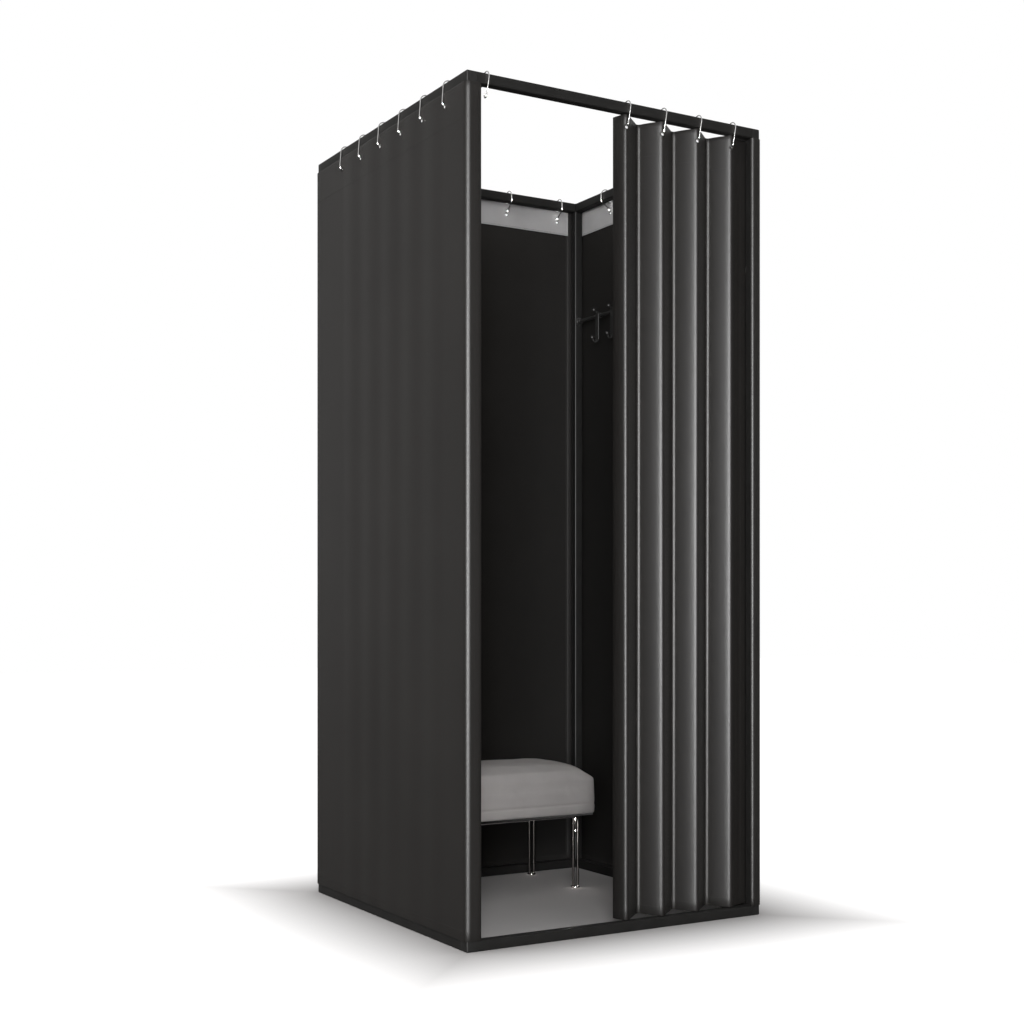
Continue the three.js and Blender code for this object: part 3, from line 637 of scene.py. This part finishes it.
def curtain(name, place, run, bottom, top, fine, hole_places, blended=False):
    """A curtain with its hems, header tape, sewn eyelets and stitches."""
    holes = [(h, EYELET_Z, EYELET + 0.0002) for h in hole_places]
    skin = CLOTH / 2
    body = None if blended else "booth"
    seam_in, seam_out = HEM - 0.0012, HEM + 0.0004
    columns = cloth_marks(run.total, 0.012, fine, hole_places)
    edges = [RIM, seam_in, seam_out]
    columns = np.array(sorted({*columns, *edges, *(run.total - edge for edge in edges)}))
    hems = [(0, RIM, RIM), (seam_in, seam_out, RIM)]
    rows = cloth_marks(top - bottom, 0.032, hems, [EYELET_Z - bottom]) + bottom
    tape_from = top - TAPE
    rows = np.array(sorted({*rows, tape_from - 0.001, tape_from + 0.001, top - RIM}))

    def from_hemmed(s, z):
        return np.minimum(np.minimum(s, run.total - s), z - bottom)

    def hem_share(s, z):
        return np.clip((HEM - from_hemmed(s, z)) / HEM_FADE, 0, 1)

    def outer(s, z):
        return skin - RIM_EASE * np.clip(1 - np.minimum(from_hemmed(s, z), top - z) / RIM, 0, 1)

    def inner(s, z):
        return skin + HEM_EXTRA * hem_share(s, z) - (skin - outer(s, z))

    def tape_front(s, z):
        return skin + HEM_EXTRA * hem_share(s, z) + TAPE_GAP

    def part(ending, mesh, finish, stands_in=False):
        return piece(name, ending, mesh, finish, body, stands_in)

    cloth = part("cloth", cloth_mesh(name + "_cloth", place, columns, rows, holes, outer, inner),
                 cloth_finish, stands_in=True)
    tape_rows = rows[rows > tape_from + 0.0005][:-1]
    tape_rows = np.array(sorted({tape_from + 0.0006, *tape_rows, top - 0.0025}))
    tape_columns = columns[(columns > HEM - 0.0013) & (columns < run.total - HEM + 0.0013)]
    tape = part("tape", cloth_mesh(
        name + "_tape", place, tape_columns, tape_rows, [(s, z, r + 0.0004) for s, z, r in holes],
        lambda s, z: -tape_front(s, z), lambda s, z: tape_front(s, z) + TAPE_THICK), tape_finish)
    inset, side_seam, top_seam, tape_seam = 0.004, HEM - 0.003, top - 0.005, tape_from + 0.004
    into = -(skin + HEM_EXTRA + TAPE_GAP + TAPE_THICK)

    def level(height, from_edge, offset):
        return (from_edge, height), (run.total - from_edge, height), offset

    lines = [
        level(bottom + side_seam, inset, skin),
        ((side_seam, bottom + inset), (side_seam, top - inset), skin),
        ((run.total - side_seam, bottom + inset), (run.total - side_seam, top - inset), skin),
        level(top_seam, inset, skin), level(tape_seam, inset, skin),
        level(top_seam, HEM, into), level(tape_seam, HEM, into),
    ]
    stitches = part("stitches", stitch_mesh(name + "_stitches", place, lines), thread_finish)
    rings = part("eyelets", ring_mesh(name + "_eyelets", place, holes), thread_finish)
    if blended:
        for made in (cloth, tape, stitches, rings):
            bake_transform(made)


def wall_wave(place, hooks, z):
    """Distance of a wall curtain from its frame: shallow waves between hooks, freer towards the floor."""
    spacing = hooks[1] - hooks[0]
    within = (place > hooks[0]) & (place < hooks[-1])
    phase = 2 * np.pi * (place - hooks[0]) / spacing
    slack = 0.55 + 0.45 * z / HEIGHT
    drift = 0.35 * np.sin(place * 9 + z * 1.7) * np.sin(np.pi * (place - hooks[0]) / (hooks[-1] - hooks[0]))
    return np.where(within, WALL_WAVE * (1 - np.cos(phase)) / 2 * (slack + drift * (1 - z / HEIGHT)), 0)


def hem_turn(hem_x, face, radius, end):
    """Points from a curtain's front edge round the turn of its hem, up to its front face."""
    dx, dy = end[0] - radius, end[1] - radius
    start = math.degrees(math.atan2(dy, dx) + math.acos(radius / math.hypot(dx, dy))) % 360
    return [(hem_x + end[0], -face + end[1])] + arc(hem_x + radius, -face + radius, radius, start, 270, 12)


def front_corner(face):
    """Points round a curtain's front corner, from its front face to its side."""
    points, angle, steps = [np.zeros(2)], 0, 8
    for radius, end in FRONT_CORNER:
        turn = math.radians((end - angle) / steps)
        for i in range(steps):
            heading = math.radians(angle) + turn * (i + 0.5)
            points.append(points[-1] + radius * turn * np.array([math.cos(heading), math.sin(heading)]))
        angle = end
    return [(face + x - points[-1][0], y - face) for x, y in points]


def lapping(place, hooks, corner=None):
    """The same cloth with its edges moved: the top one dips at each hook, and from the cloth's start to the
    corner both edges keep clear of the connectors. Heights between low and high stay."""
    low, high = 0.08, 1.952

    def moved(s, z):
        x, y, _ = place(s, z)
        dip = np.max([np.clip(1.5 - np.abs(s - h) / HOOK_NOTCH * 2, 0, 1) for h in hooks], axis=0)
        rise = 0 * s
        if corner is not None:
            rise = np.clip((corner - s) / 0.001 + 0.5, 0, 1)
            dip = np.maximum(dip, rise)
        dip = dip * dip * (3 - 2 * dip)
        up = (WALL_BOTTOM - LAP_BOTTOM) * rise * np.clip((low - z) / (low - LAP_BOTTOM), 0, 1)
        down = (LAP_TOP - WALL_TOP) * dip * np.clip((z - high) / (LAP_TOP - high), 0, 1)
        return x, y, z + up - down
    return moved


def build_side_curtain(name, sign, front_wrap, hem):
    face = HALF + SIDE_OFFSET
    r = WRAP_CORNER
    turned = hem_turn(HALF - front_wrap, face, *hem)
    front = turned + front_corner(face)
    back = arc(face - r, face - r, r, 0, 90) + [(HALF - BACK_WRAP, face)]
    run = Run(front + back)
    corner, back_start = run.lengths[len(front) - 1:len(front) + 1]
    hole_places = [corner + y - front[-1][1] for y in SIDE_HOOKS]
    bends = [(RIM, run.lengths[len(turned) - 1], 0.0024), (run.lengths[len(turned)], corner, 0.0016),
             (back_start, back_start + math.pi / 2 * r, 0.0016)]
    if sign < 0:
        run = Run([(-x, y) for x, y in reversed(front + back)])
        hole_places = [run.total - h for h in hole_places]
        bends = [(run.total - b, run.total - a, step) for a, b, step in bends]

    def place(s, z):
        x, y = run.at(s)
        on_side = np.abs(y) < face - r
        return x + sign * np.where(on_side, wall_wave(y, SIDE_HOOKS, z), 0), y, z

    if sign > 0:
        notch = corner + front_wrap + 0.004 - HALF - front[-1][1]
        place = lapping(place, hole_places, notch)
        bends.append((notch - 0.0005, notch + 0.0005, 0.001))
    bottom, top = (LAP_BOTTOM, LAP_TOP) if sign > 0 else (WALL_BOTTOM, WALL_TOP)
    curtain(name, place, run, bottom, top, bends, sorted(hole_places))


def build_back_curtain():
    face = HALF + BACK_OFFSET
    edge = HALF - 0.012
    run = Run([(edge, face), (-edge, face)])
    hole_places = sorted(edge - x for x in BACK_HOOKS)

    def place(s, z):
        x, y = run.at(s)
        return x, y + wall_wave(x, BACK_HOOKS, z), z

    curtain("back_curtain", lapping(place, hole_places), run, LAP_BOTTOM, LAP_TOP, (), hole_places)


def walk(stretches):
    """Points along stretches, each with a length and the angles that the cloth's outer face has at its two
    ends, measured from straight ahead towards the left."""
    points = [np.zeros(2)]
    for length, start, end in stretches:
        steps = max(2, round(length / 0.0005))
        for share in (np.arange(steps) + 0.5) / steps:
            angle = math.radians(start + (end - start) * share)
            points.append(points[-1] + np.array([math.cos(angle), -math.sin(angle)]) * length / steps)
    return np.array(points)


def fold_run():
    """The front curtain seen from above, with the length to its first crest and that of one fold."""
    entry, entry_angle = CREST_ENTRY
    crest_in = (CREST_RADIUS * math.radians(entry_angle), entry_angle, 0)
    crest_out = (CREST_RADIUS * math.radians(AWAY_ANGLE), 0, -AWAY_ANGLE)
    valley_exit = VALLEY[-1][1]

    def fold(away, back):
        valley = [(length, start, end) for start, (length, end) in zip([-AWAY_ANGLE, VALLEY[0][1]], VALLEY)]
        return [crest_out, (away, -AWAY_ANGLE, -AWAY_ANGLE), *valley, (back, valley_exit, BACK_ANGLE),
                (entry, BACK_ANGLE, entry_angle), crest_in]

    away, back = 0.06, 0.03
    for _ in range(30):
        now = walk(fold(away, back))[-1]
        by_away = (walk(fold(away + 0.001, back))[-1] - now) / 0.001
        by_back = (walk(fold(away, back + 0.001))[-1] - now) / 0.001
        change = np.linalg.solve(np.array([by_away, by_back]).T, np.array([CREST_PITCH, 0]) - now)
        away, back = away + change[0], back + change[1]
    lead = [*LEAD, crest_in]
    stretches = [*lead, *fold(away, back) * (CREST_COUNT - 1), crest_out, (TAIL[0], -AWAY_ANGLE, TAIL[1])]
    points = walk(stretches) + np.array([FIRST_CREST, CREST_Y]) - walk(lead)[-1]
    return Run(points), sum(part[0] for part in lead), sum(part[0] for part in fold(away, back))


def build_front_curtain():
    run, first, fold_length = fold_run()
    hole_places = [first + i * fold_length for i in range(CREST_COUNT)]

    def place(s, z):
        x, y = run.at(s)
        low = 1 - z / FRONT_TOP
        deeper = 1 + FOLD_GROWTH * low + FOLD_DRIFT * low * np.sin(x * 23)
        sway = FOLD_SWAY * low * np.sin(x * 14 + 0.6)
        return x + sway, CREST_Y + (y - CREST_Y) * deeper, z

    fine = [(h - 0.012, h + 0.012, 0.0022) for h in hole_places]
    for before, after in zip(hole_places, hole_places[1:]):
        between = (run.lengths > before) & (run.lengths < after)
        middle = run.lengths[np.argmax(np.where(between, run.points[:, 1], -9))]
        fine.append((middle - 0.010, middle + 0.018, 0.0018))
    curtain("front_curtain", place, run, FRONT_BOTTOM, FRONT_TOP, fine, hole_places, True)


# Curtain hooks

def rounded(corners, reach=0.006, steps=6):
    """A line through corners, each eased over a reach on both sides."""
    corners = [np.asarray(corner, float) for corner in corners]
    line = [corners[0]]
    for before, corner, after in zip(corners, corners[1:], corners[2:]):
        start = corner + (before - corner) * min(0.45, reach / np.linalg.norm(before - corner))
        end = corner + (after - corner) * min(0.45, reach / np.linalg.norm(after - corner))
        for t in np.linspace(0, 1, steps + 1):
            line.append((1 - t) ** 2 * start + 2 * t * (1 - t) * corner + t * t * end)
    return line + [corners[-1]]


def hook_mesh(name, cloth_offset, leg_outside, shift=0, tilt=0):
    """A hook drawn out from the rail's outer face, and up. A tilted one leans along the rail at its foot."""
    side = 1 if leg_outside else -1
    middle = shift - TUBE / 2
    reach = TUBE / 2 + WIRE / 2 + HOOK_SLACK
    curl_z = HEIGHT - 0.049
    arch = [(middle + side * reach * math.cos(a), HEIGHT - 0.010 + 0.018 * math.sin(a))
            for a in np.linspace(math.pi, 0, 25)]
    leg_y = cloth_offset + side * HOOK_CURL
    leg = [arch[-1], (leg_y, HEIGHT - 0.045), (leg_y, curl_z)]
    if not leg_outside:
        leg.insert(1, (middle + side * reach, HEIGHT - 0.028))
    curl = [(cloth_offset + side * HOOK_CURL * math.cos(a), curl_z - HOOK_CURL * math.sin(a))
            for a in np.linspace(0, math.radians(210), 29)]
    bends = [(middle - side * reach, HEIGHT - 0.021), (middle - side * reach, HEIGHT - 0.0155)]
    bends += arch[:-1] + rounded(leg) + curl[1:]
    made = sweep(name, *hook_line(bends), (1, 0, 0))
    lean = math.tan(math.radians(tilt))
    leaning = Matrix.Identity(4)
    leaning[0][2], leaning[0][3] = lean, -lean * (curl_z - HOOK_CURL)
    made.transform(leaning)
    return made


def hook_line(bends):
    """Points and radii for a wire with a ball at both ends."""
    line = [np.array((0.0, -out, up)) for out, up in bends]
    head, head_radii = ball_end(line, OUTER_BALL, WIRE / 2)
    tail, tail_radii = ball_end(line[::-1], INNER_BALL, WIRE / 2)
    count = BALL_STEPS + 1
    kept = head[:count] + [p for p in head[count:] if np.linalg.norm(p - line[-1]) > INNER_BALL]
    kept_radii = head_radii[:count] + [WIRE / 2] * (len(kept) - count)
    return kept + tail[:count][::-1], kept_radii + tail_radii[:count][::-1]


def build_hooks():
    kinds = {
        "left": hook_mesh("left_hook_wire", SIDE_OFFSET, True, 0.0004, -8),
        "right": hook_mesh("right_hook_wire", SIDE_OFFSET, False),
        "back": hook_mesh("back_hook_wire", BACK_OFFSET, False),
        "front": hook_mesh("front_hook_wire", -0.006, True, 0, 5),
    }
    spots = [("left", i, (-HALF, y), -math.pi / 2) for i, y in enumerate(SIDE_HOOKS)]
    spots += [("right", i, (HALF, y), math.pi / 2) for i, y in enumerate(SIDE_HOOKS)]
    spots += [("back", i, (x, HALF), math.pi) for i, x in enumerate(BACK_HOOKS)]
    spots += [("front", i, (x, -HALF), 0) for i, x in enumerate(CRESTS)]
    bodies = ["curtain_lead", "curtain_hook_2", "curtain_hook_3", "curtain_hook_4"]
    for kind, i, (x, y), turn in spots:
        piece(f"{kind}_hook_{i + 1}", "wire", placed(kinds[kind], at(x, y, 0, turn)), wire_finish,
              bodies[i] if kind == "front" else "booth")
    piece("front_stop_hook", "wire", placed(kinds["front"], at(STOP_HOOK, -HALF, 0)), wire_finish)


# Coat rail, its end cups and coat hooks

def build_coat_rail():
    cup_y = POST_AT - TUBE / 2 - GAP
    half = cup_y - 0.003 - GAP
    r = COAT_BAR / 2
    bar = lathe("coat_bar", round_bar(r, -half, half, 0.0005))
    piece("coat_rail", "bar", placed(bar, at(COAT_X, 0, COAT_Z, math.pi / 2, "X")), dark_finish)
    bore = r + GAP
    cup = lathe("coat_cup", [
        (0, 0), (0.012, 0), (0.012, 0.0022), (0.0117, 0.0028), (0.011, 0.003), (0.0088, 0.0031),
        (0.0082, 0.0036), (0.008, 0.0045), (0.008, 0.0134), (0.0078, 0.0138), (0.0074, 0.014),
        (bore + 0.0003, 0.014), (bore, 0.0137), (bore, 0.003), (0, 0.003)])
    for end, sy in ENDS:
        facing = at(COAT_X, sy * cup_y, COAT_Z, sy * math.pi / 2, "X")
        piece(f"coat_rail_cup_{end}", "turned", placed(cup, facing), dark_finish)
    hook = coat_hook_mesh()
    for i, y in enumerate(COAT_HOOKS):
        piece(f"coat_hook_{i + 1}", "cast", placed(hook, at(COAT_X, y, COAT_Z)), dark_finish)


def pill_mesh(width, above, below, thick):
    """An upright plate with round ends, its middle plane across X, eased at its edges."""
    r = width / 2
    edge = 0.0006
    outline = arc(0, above - r, r, 0, 180, 16) + arc(0, r - below, r, 180, 360, 16)
    middle = (above - below) / 2
    rings = []
    for x, inset in ((-thick / 2, edge), (-thick / 2 + edge, 0), (thick / 2 - edge, 0), (thick / 2, edge)):
        rings.append([(x, y * (1 - inset / r), middle + (z - middle) * (1 - inset / ((above + below) / 2)))
                      for y, z in outline])
    count = len(outline)
    vertices = [p for ring in rings for p in ring]
    caps = [tuple(reversed(range(count))), tuple(range(3 * count, 4 * count))]
    return outward(mesh_of("plate", vertices, caps + bridge(numbered(4, count))))


def coat_hook_mesh():
    bore = COAT_BAR / 2 + GAP
    collar = bore + 0.003
    plate_x = -(bore + 0.0015)
    plate = pill_mesh(0.018, 0.012, 0.077, 0.003)
    plate.transform(at(plate_x, 0, 0))
    sleeve = lathe("sleeve", round_bar(collar, -0.009, 0.009, 0.0006), 40)
    drill = lathe("drill", [(0, -0.012), (bore, -0.012), (bore, 0.012), (0, 0.012)], 40)
    for part in (sleeve, drill):
        part.transform(at(0, 0, 0, math.pi / 2, "X"))
    prongs = []
    for base, reach, dip, rise in ((0.007, 0.012, -0.002, 0.008), (-0.072, 0.018, 0.008, 0.006)):
        line = [np.array((plate_x + 0.0004 - reach * t, 0.0, base - 4 * dip * t * (1 - t) + rise * t * t))
                for t in np.linspace(0, 1, 21)]
        points, radii = ball_end(line[::-1], 0.006, 0.0026, 9)
        points.append(points[-1] + np.array((0.0006, 0, 0)))
        radii.append(0)
        prongs.append(sweep("prong", points, radii, (0, 1, 0), 16))
    return union("coat_hook", [plate, sleeve, *prongs], [drill])


# Bench

def rod_loop(corners, reach):
    """A level loop of round rod along corners that are eased over a reach."""
    corners = [np.asarray(corner, float) for corner in corners]
    middle = (corners[0] + corners[-1]) / 2
    line = rounded([middle, *corners, middle], reach, 8)[:-1]
    stations = []
    for before, point, after in zip(line[-1:] + line[:-1], line, line[1:] + line[:1]):
        along = (after - before) / np.linalg.norm(after - before)
        stations.append((point, ROD / 2, np.cross(along, (0, 0, 1)), np.array((0.0, 0.0, 1.0))))
    vertices, rings = ringed(stations, 16)
    return outward(mesh_of("rod", vertices, bridge(rings, closed=True), sharp=50))


def build_bench():
    build_seat()
    board_z = SEAT_UNDERSIDE - GAP - BOARD
    base_z = board_z - ROD
    x, y = LEG_X + ROD_SPREAD / 2, LEG_Y
    ways = (-1, -1), (1, -1), (1, 1), (-1, 1)
    frame_line = [(sx * x, SEAT_Y + sy * y, base_z + ROD / 2) for sx, sy in ways]
    piece("bench_base", "rods", rod_loop(frame_line, 0.010), base_finish)
    board = bmesh.new()
    bmesh.ops.create_cube(board, size=1)
    stretch = (SEAT_LENGTH - BOARD_INSET, SEAT_DEPTH - BOARD_INSET, BOARD)
    bmesh.ops.scale(board, vec=stretch, verts=board.verts)
    bmesh.ops.bevel(board, geom=board.edges[:], offset=0.0008, segments=2, affect="EDGES")
    bmesh.ops.translate(board, vec=(0, SEAT_Y, board_z + BOARD / 2), verts=board.verts)
    piece("bench_base", "board", mesh_from("bench_board", board), board_finish, stands_in=False)
    top = base_z - GAP
    foot = lathe("foot", [(0, 0), (0.0112, 0), (0.0120, 0.0003), (0.0125, 0.001), (0.0125, 0.0031),
                          (0.0122, 0.0037), (0.0116, 0.004), (0, 0.004)])
    r, ease, low = ROD / 2, 0.0004, 0.002
    rod = lathe("leg_rod", [(0, low), (r, low), (r, top - ease), (r - ease, top), (0, top)], 16, 50)
    rods = [placed(rod, at(shift, 0, 0)) for shift in (-ROD_SPREAD / 2, ROD_SPREAD / 2)]
    tip = top - 0.036
    bead = [(BEAD * math.sin(a), tip - BEAD * math.cos(a)) for a in np.linspace(0, math.radians(132), 12)]
    plug = lathe("plug", [*bead, (0.0036, tip + 0.0036), (0.0069, top - 0.0008), (0.0066, top), (0, top)])
    leg = union("bench_leg", [foot, *rods, plug])
    for end, sy in ENDS:
        for flank, sx in FLANKS:
            spot = at(sx * LEG_X, SEAT_Y + sy * LEG_Y, 0)
            piece(f"bench_leg_{end}_{flank}", "rods", placed(leg, spot), leg_finish_painted_dark)


def seat_point(sx, sy, sz, inset):
    """A point of the seat for shares across it and up it, drawn in by an inset."""
    crown = SEAT_CROWN * math.sqrt((1 - abs(sx) ** 6) * (1 - abs(sy) ** 3))
    rounding = 0.012 * (1 - math.sqrt(0.5)) * (sx * sy) ** 8
    bulge = 0.0015 * (math.sin(math.pi * sz) - 1)
    x = sx * (SEAT_LENGTH / 2 + bulge - rounding - inset)
    y = sy * (SEAT_DEPTH / 2 + bulge - rounding - inset)
    return x, SEAT_Y + y, SEAT_UNDERSIDE + sz * (SEAT_SIDE + crown * sz * sz - inset)


def build_seat():
    shell = bmesh.new()
    bmesh.ops.create_cube(shell, size=2)
    bmesh.ops.subdivide_edges(shell, edges=shell.edges, cuts=15, use_grid_fill=True)
    for v in shell.verts:
        v.co = seat_point(v.co.x, v.co.y, (v.co.z + 1) / 2, 0.005)
    seat = add("bench_seat_cushion", mesh_from("bench_seat_cushion", shell))
    remesh = seat.modifiers.new("voxels", "REMESH")
    remesh.mode = "VOXEL"
    remesh.voxel_size = SEAT_VOXEL
    apply_modifiers(seat)
    start = corners_of(seat)
    puff(seat, start)
    moved = corners_of(seat) - start
    size = np.linalg.norm(moved, axis=1)[:, None]
    now = start + moved * np.minimum(1, SEAT_SWELLING / np.maximum(size, 1e-9))
    low = start[:, 2] < SEAT_UNDERSIDE + 0.0015
    now[low, 2] = SEAT_UNDERSIDE
    now[:, 2] = np.maximum(now[:, 2], SEAT_UNDERSIDE)
    move_corners(seat, now)
    smooth = seat.modifiers.new("finer", "SUBSURF")
    smooth.levels = smooth.render_levels = 1
    apply_modifiers(seat)
    crease_seat(seat)
    seat.data.materials.clear()
    seat.data.materials.append(seat_finish)
    seat.data.polygons.foreach_set("use_smooth", [True] * len(seat.data.polygons))
    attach(seat, "booth")
    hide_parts("bench_seat")


def apply_modifiers(obj):
    made = evaluated(obj)
    obj.modifiers.clear()
    obj.data = made


def corners_of(obj):
    return np.array([v.co for v in obj.data.vertices])


def move_corners(obj, place):
    obj.data.vertices.foreach_set("co", place.astype(np.float32).ravel())
    obj.data.update()


def puff(seat, start):
    """Fills the seat's cover like a cushion, with its underside held."""
    held = seat.vertex_groups.new(name="held")
    held.add([i for i, p in enumerate(start) if p[2] < SEAT_UNDERSIDE + 0.004], 1.0, "REPLACE")
    cloth = seat.modifiers.new("cloth", "CLOTH")
    cloth.settings.use_pressure = True
    cloth.settings.uniform_pressure_force = 4
    cloth.settings.effector_weights.gravity = 0
    cloth.settings.vertex_group_mass = "held"
    cloth.settings.quality = 6
    cloth.point_cache.frame_start = 1
    cloth.point_cache.frame_end = SWELLING_STEPS
    for step in range(1, SWELLING_STEPS + 1):
        bpy.context.scene.frame_set(step)
        bpy.context.view_layer.update()
    apply_modifiers(seat)
    bpy.context.scene.frame_set(1)


def crease_seat(seat):
    """The seam round the lower part of the seat, and shallow pulls in the fabric."""
    place = corners_of(seat)
    x, y, z = place[:, 0], place[:, 1] - SEAT_Y, place[:, 2] - SEAT_UNDERSIDE
    toward = np.stack([x / (SEAT_LENGTH / 2), y / (SEAT_DEPTH / 2)], axis=1)
    reach = np.abs(toward).max(axis=1)
    side = np.clip((reach - 0.9) / 0.08, 0, 1)
    depth, width, pull = 0.0022, 0.0026, 0.0007
    groove = depth * np.exp(-((z - SEAT_SEAM) / width) ** 2) * side
    out = np.where((np.abs(toward[:, 0]) > np.abs(toward[:, 1]))[:, None],
                   np.stack([np.sign(x), 0 * x], axis=1), np.stack([0 * y, np.sign(y)], axis=1))
    pulls = pull * np.sin(x * 41 + 3 * np.sin(y * 17)) * np.sin(y * 33 + 2) * np.clip(z / 0.1, 0, 1) ** 2
    place[:, :2] -= out * groove[:, None]
    place[:, 2] += pulls
    move_corners(seat, place)


# Stage, light and camera

def build_stage():
    world = bpy.data.worlds.new("studio")
    bpy.context.scene.world = world
    world.use_nodes = True
    tree = world.node_tree
    tree.nodes.clear()
    rays = node(tree, "LightPath")
    seen = rays.outputs["Is Camera Ray"]
    for kind in ("Is Glossy Ray", "Is Transmission Ray"):
        seen = node(tree, "Math", {0: seen, 1: rays.outputs[kind]}, operation="MAXIMUM").outputs[0]
    light = node(tree, "Background", {"Color": (1, 1, 1, 1), "Strength": 0.6})
    white = node(tree, "Background", {"Color": (1, 1, 1, 1), "Strength": 1.0})
    mix = node(tree, "MixShader", {0: seen, 1: light.outputs[0], 2: white.outputs[0]})
    node(tree, "OutputWorld", {"Surface": mix.outputs[0]})
    corners = [(-FLOOR, -FLOOR, 0), (FLOOR, -FLOOR, 0), (FLOOR, FLOOR, 0), (-FLOOR, FLOOR, 0)]
    floor = add("floor", mesh_of("floor", corners, [(0, 1, 2, 3)]))
    made, tree, shader = shade("pale_floor", Base_Color=(0.56, 0.546, 0.541, 1), Roughness=0.7,
                               Specular_IOR_Level=0, Emission_Color=(1, 1, 1, 1))
    # Painted light: seen by the camera the floor glows, not at all under the booth and more and more over the
    # first third of a metre round it, so the floor is painted lighter away from the booth and the booth's
    # shadow fades out.
    rays = node(tree, "LightPath")
    where = node(tree, "TexCoord")
    far = node(tree, "VectorMath", {0: where.outputs["Object"]}, operation="ABSOLUTE")
    far = node(tree, "SeparateXYZ", {0: far.outputs[0]})
    far = node(tree, "Math", {0: far.outputs["X"], 1: far.outputs["Y"]}, operation="MAXIMUM")
    far = node(tree, "MapRange", {"Value": far.outputs[0], "From Min": 0.43, "From Max": 0.75,
                                            "To Min": 0.0, "To Max": 0.8})
    painted_floor_glow = node(tree, "Math", {0: rays.outputs["Is Camera Ray"], 1: far.outputs[0]},
                operation="MULTIPLY")
    tree.links.new(painted_floor_glow.outputs[0], shader.inputs["Emission Strength"])
    floor.data.materials.append(made)


def area_light(name, place, target, size, power):
    light = bpy.data.lights.new(name, "AREA")
    light.shape = "RECTANGLE"
    light.size, light.size_y = size
    light.energy = power
    made = add(name, light)
    made.location = place
    made.rotation_euler = (Vector(target) - Vector(place)).to_track_quat("-Z", "Y").to_euler()
    return made


def build_lights():
    area_light("key", (-4.2, 0.9, 2.4), (0, 0, 1.0), (2.6, 3.0), 48)
    front = area_light("front", (-2.15, -3.9, 2.3), (0, 0, 0.9), (0.9, 1.4), 58)
    front.visible_glossy = False
    strip = area_light("strip", (-4.94, -6.55, 1.7), (0.1, -0.4, 1.2), (1.8, 3.4), 21500)
    strip.visible_diffuse = False


def build_camera():
    """The camera that was fitted to the booth's corners, from its focal length and horizon in pixels."""
    side, focal, horizon = 1024, 1502.8, 608.9
    lens = bpy.data.cameras.new("camera")
    lens.sensor_width = 36
    lens.lens = focal / side * 36
    lens.shift_y = (horizon - side / 2) / side
    camera = add("camera", lens)
    camera.location = (-2.059, -3.406, 0.779)
    camera.rotation_euler = (math.pi / 2, 0, math.radians(-30.45))
    bpy.context.scene.camera = camera


bpy.context.scene.view_settings.view_transform = "Standard"
build_camera()
build_stage()
build_lights()
build_frame()
build_connectors()
build_hooks()
build_side_curtain("left_curtain", -1, LEFT_WRAP, LEFT_HEM)
build_side_curtain("right_curtain", 1, RIGHT_WRAP, RIGHT_HEM)
build_back_curtain()
build_front_curtain()
build_coat_rail()
build_bench()
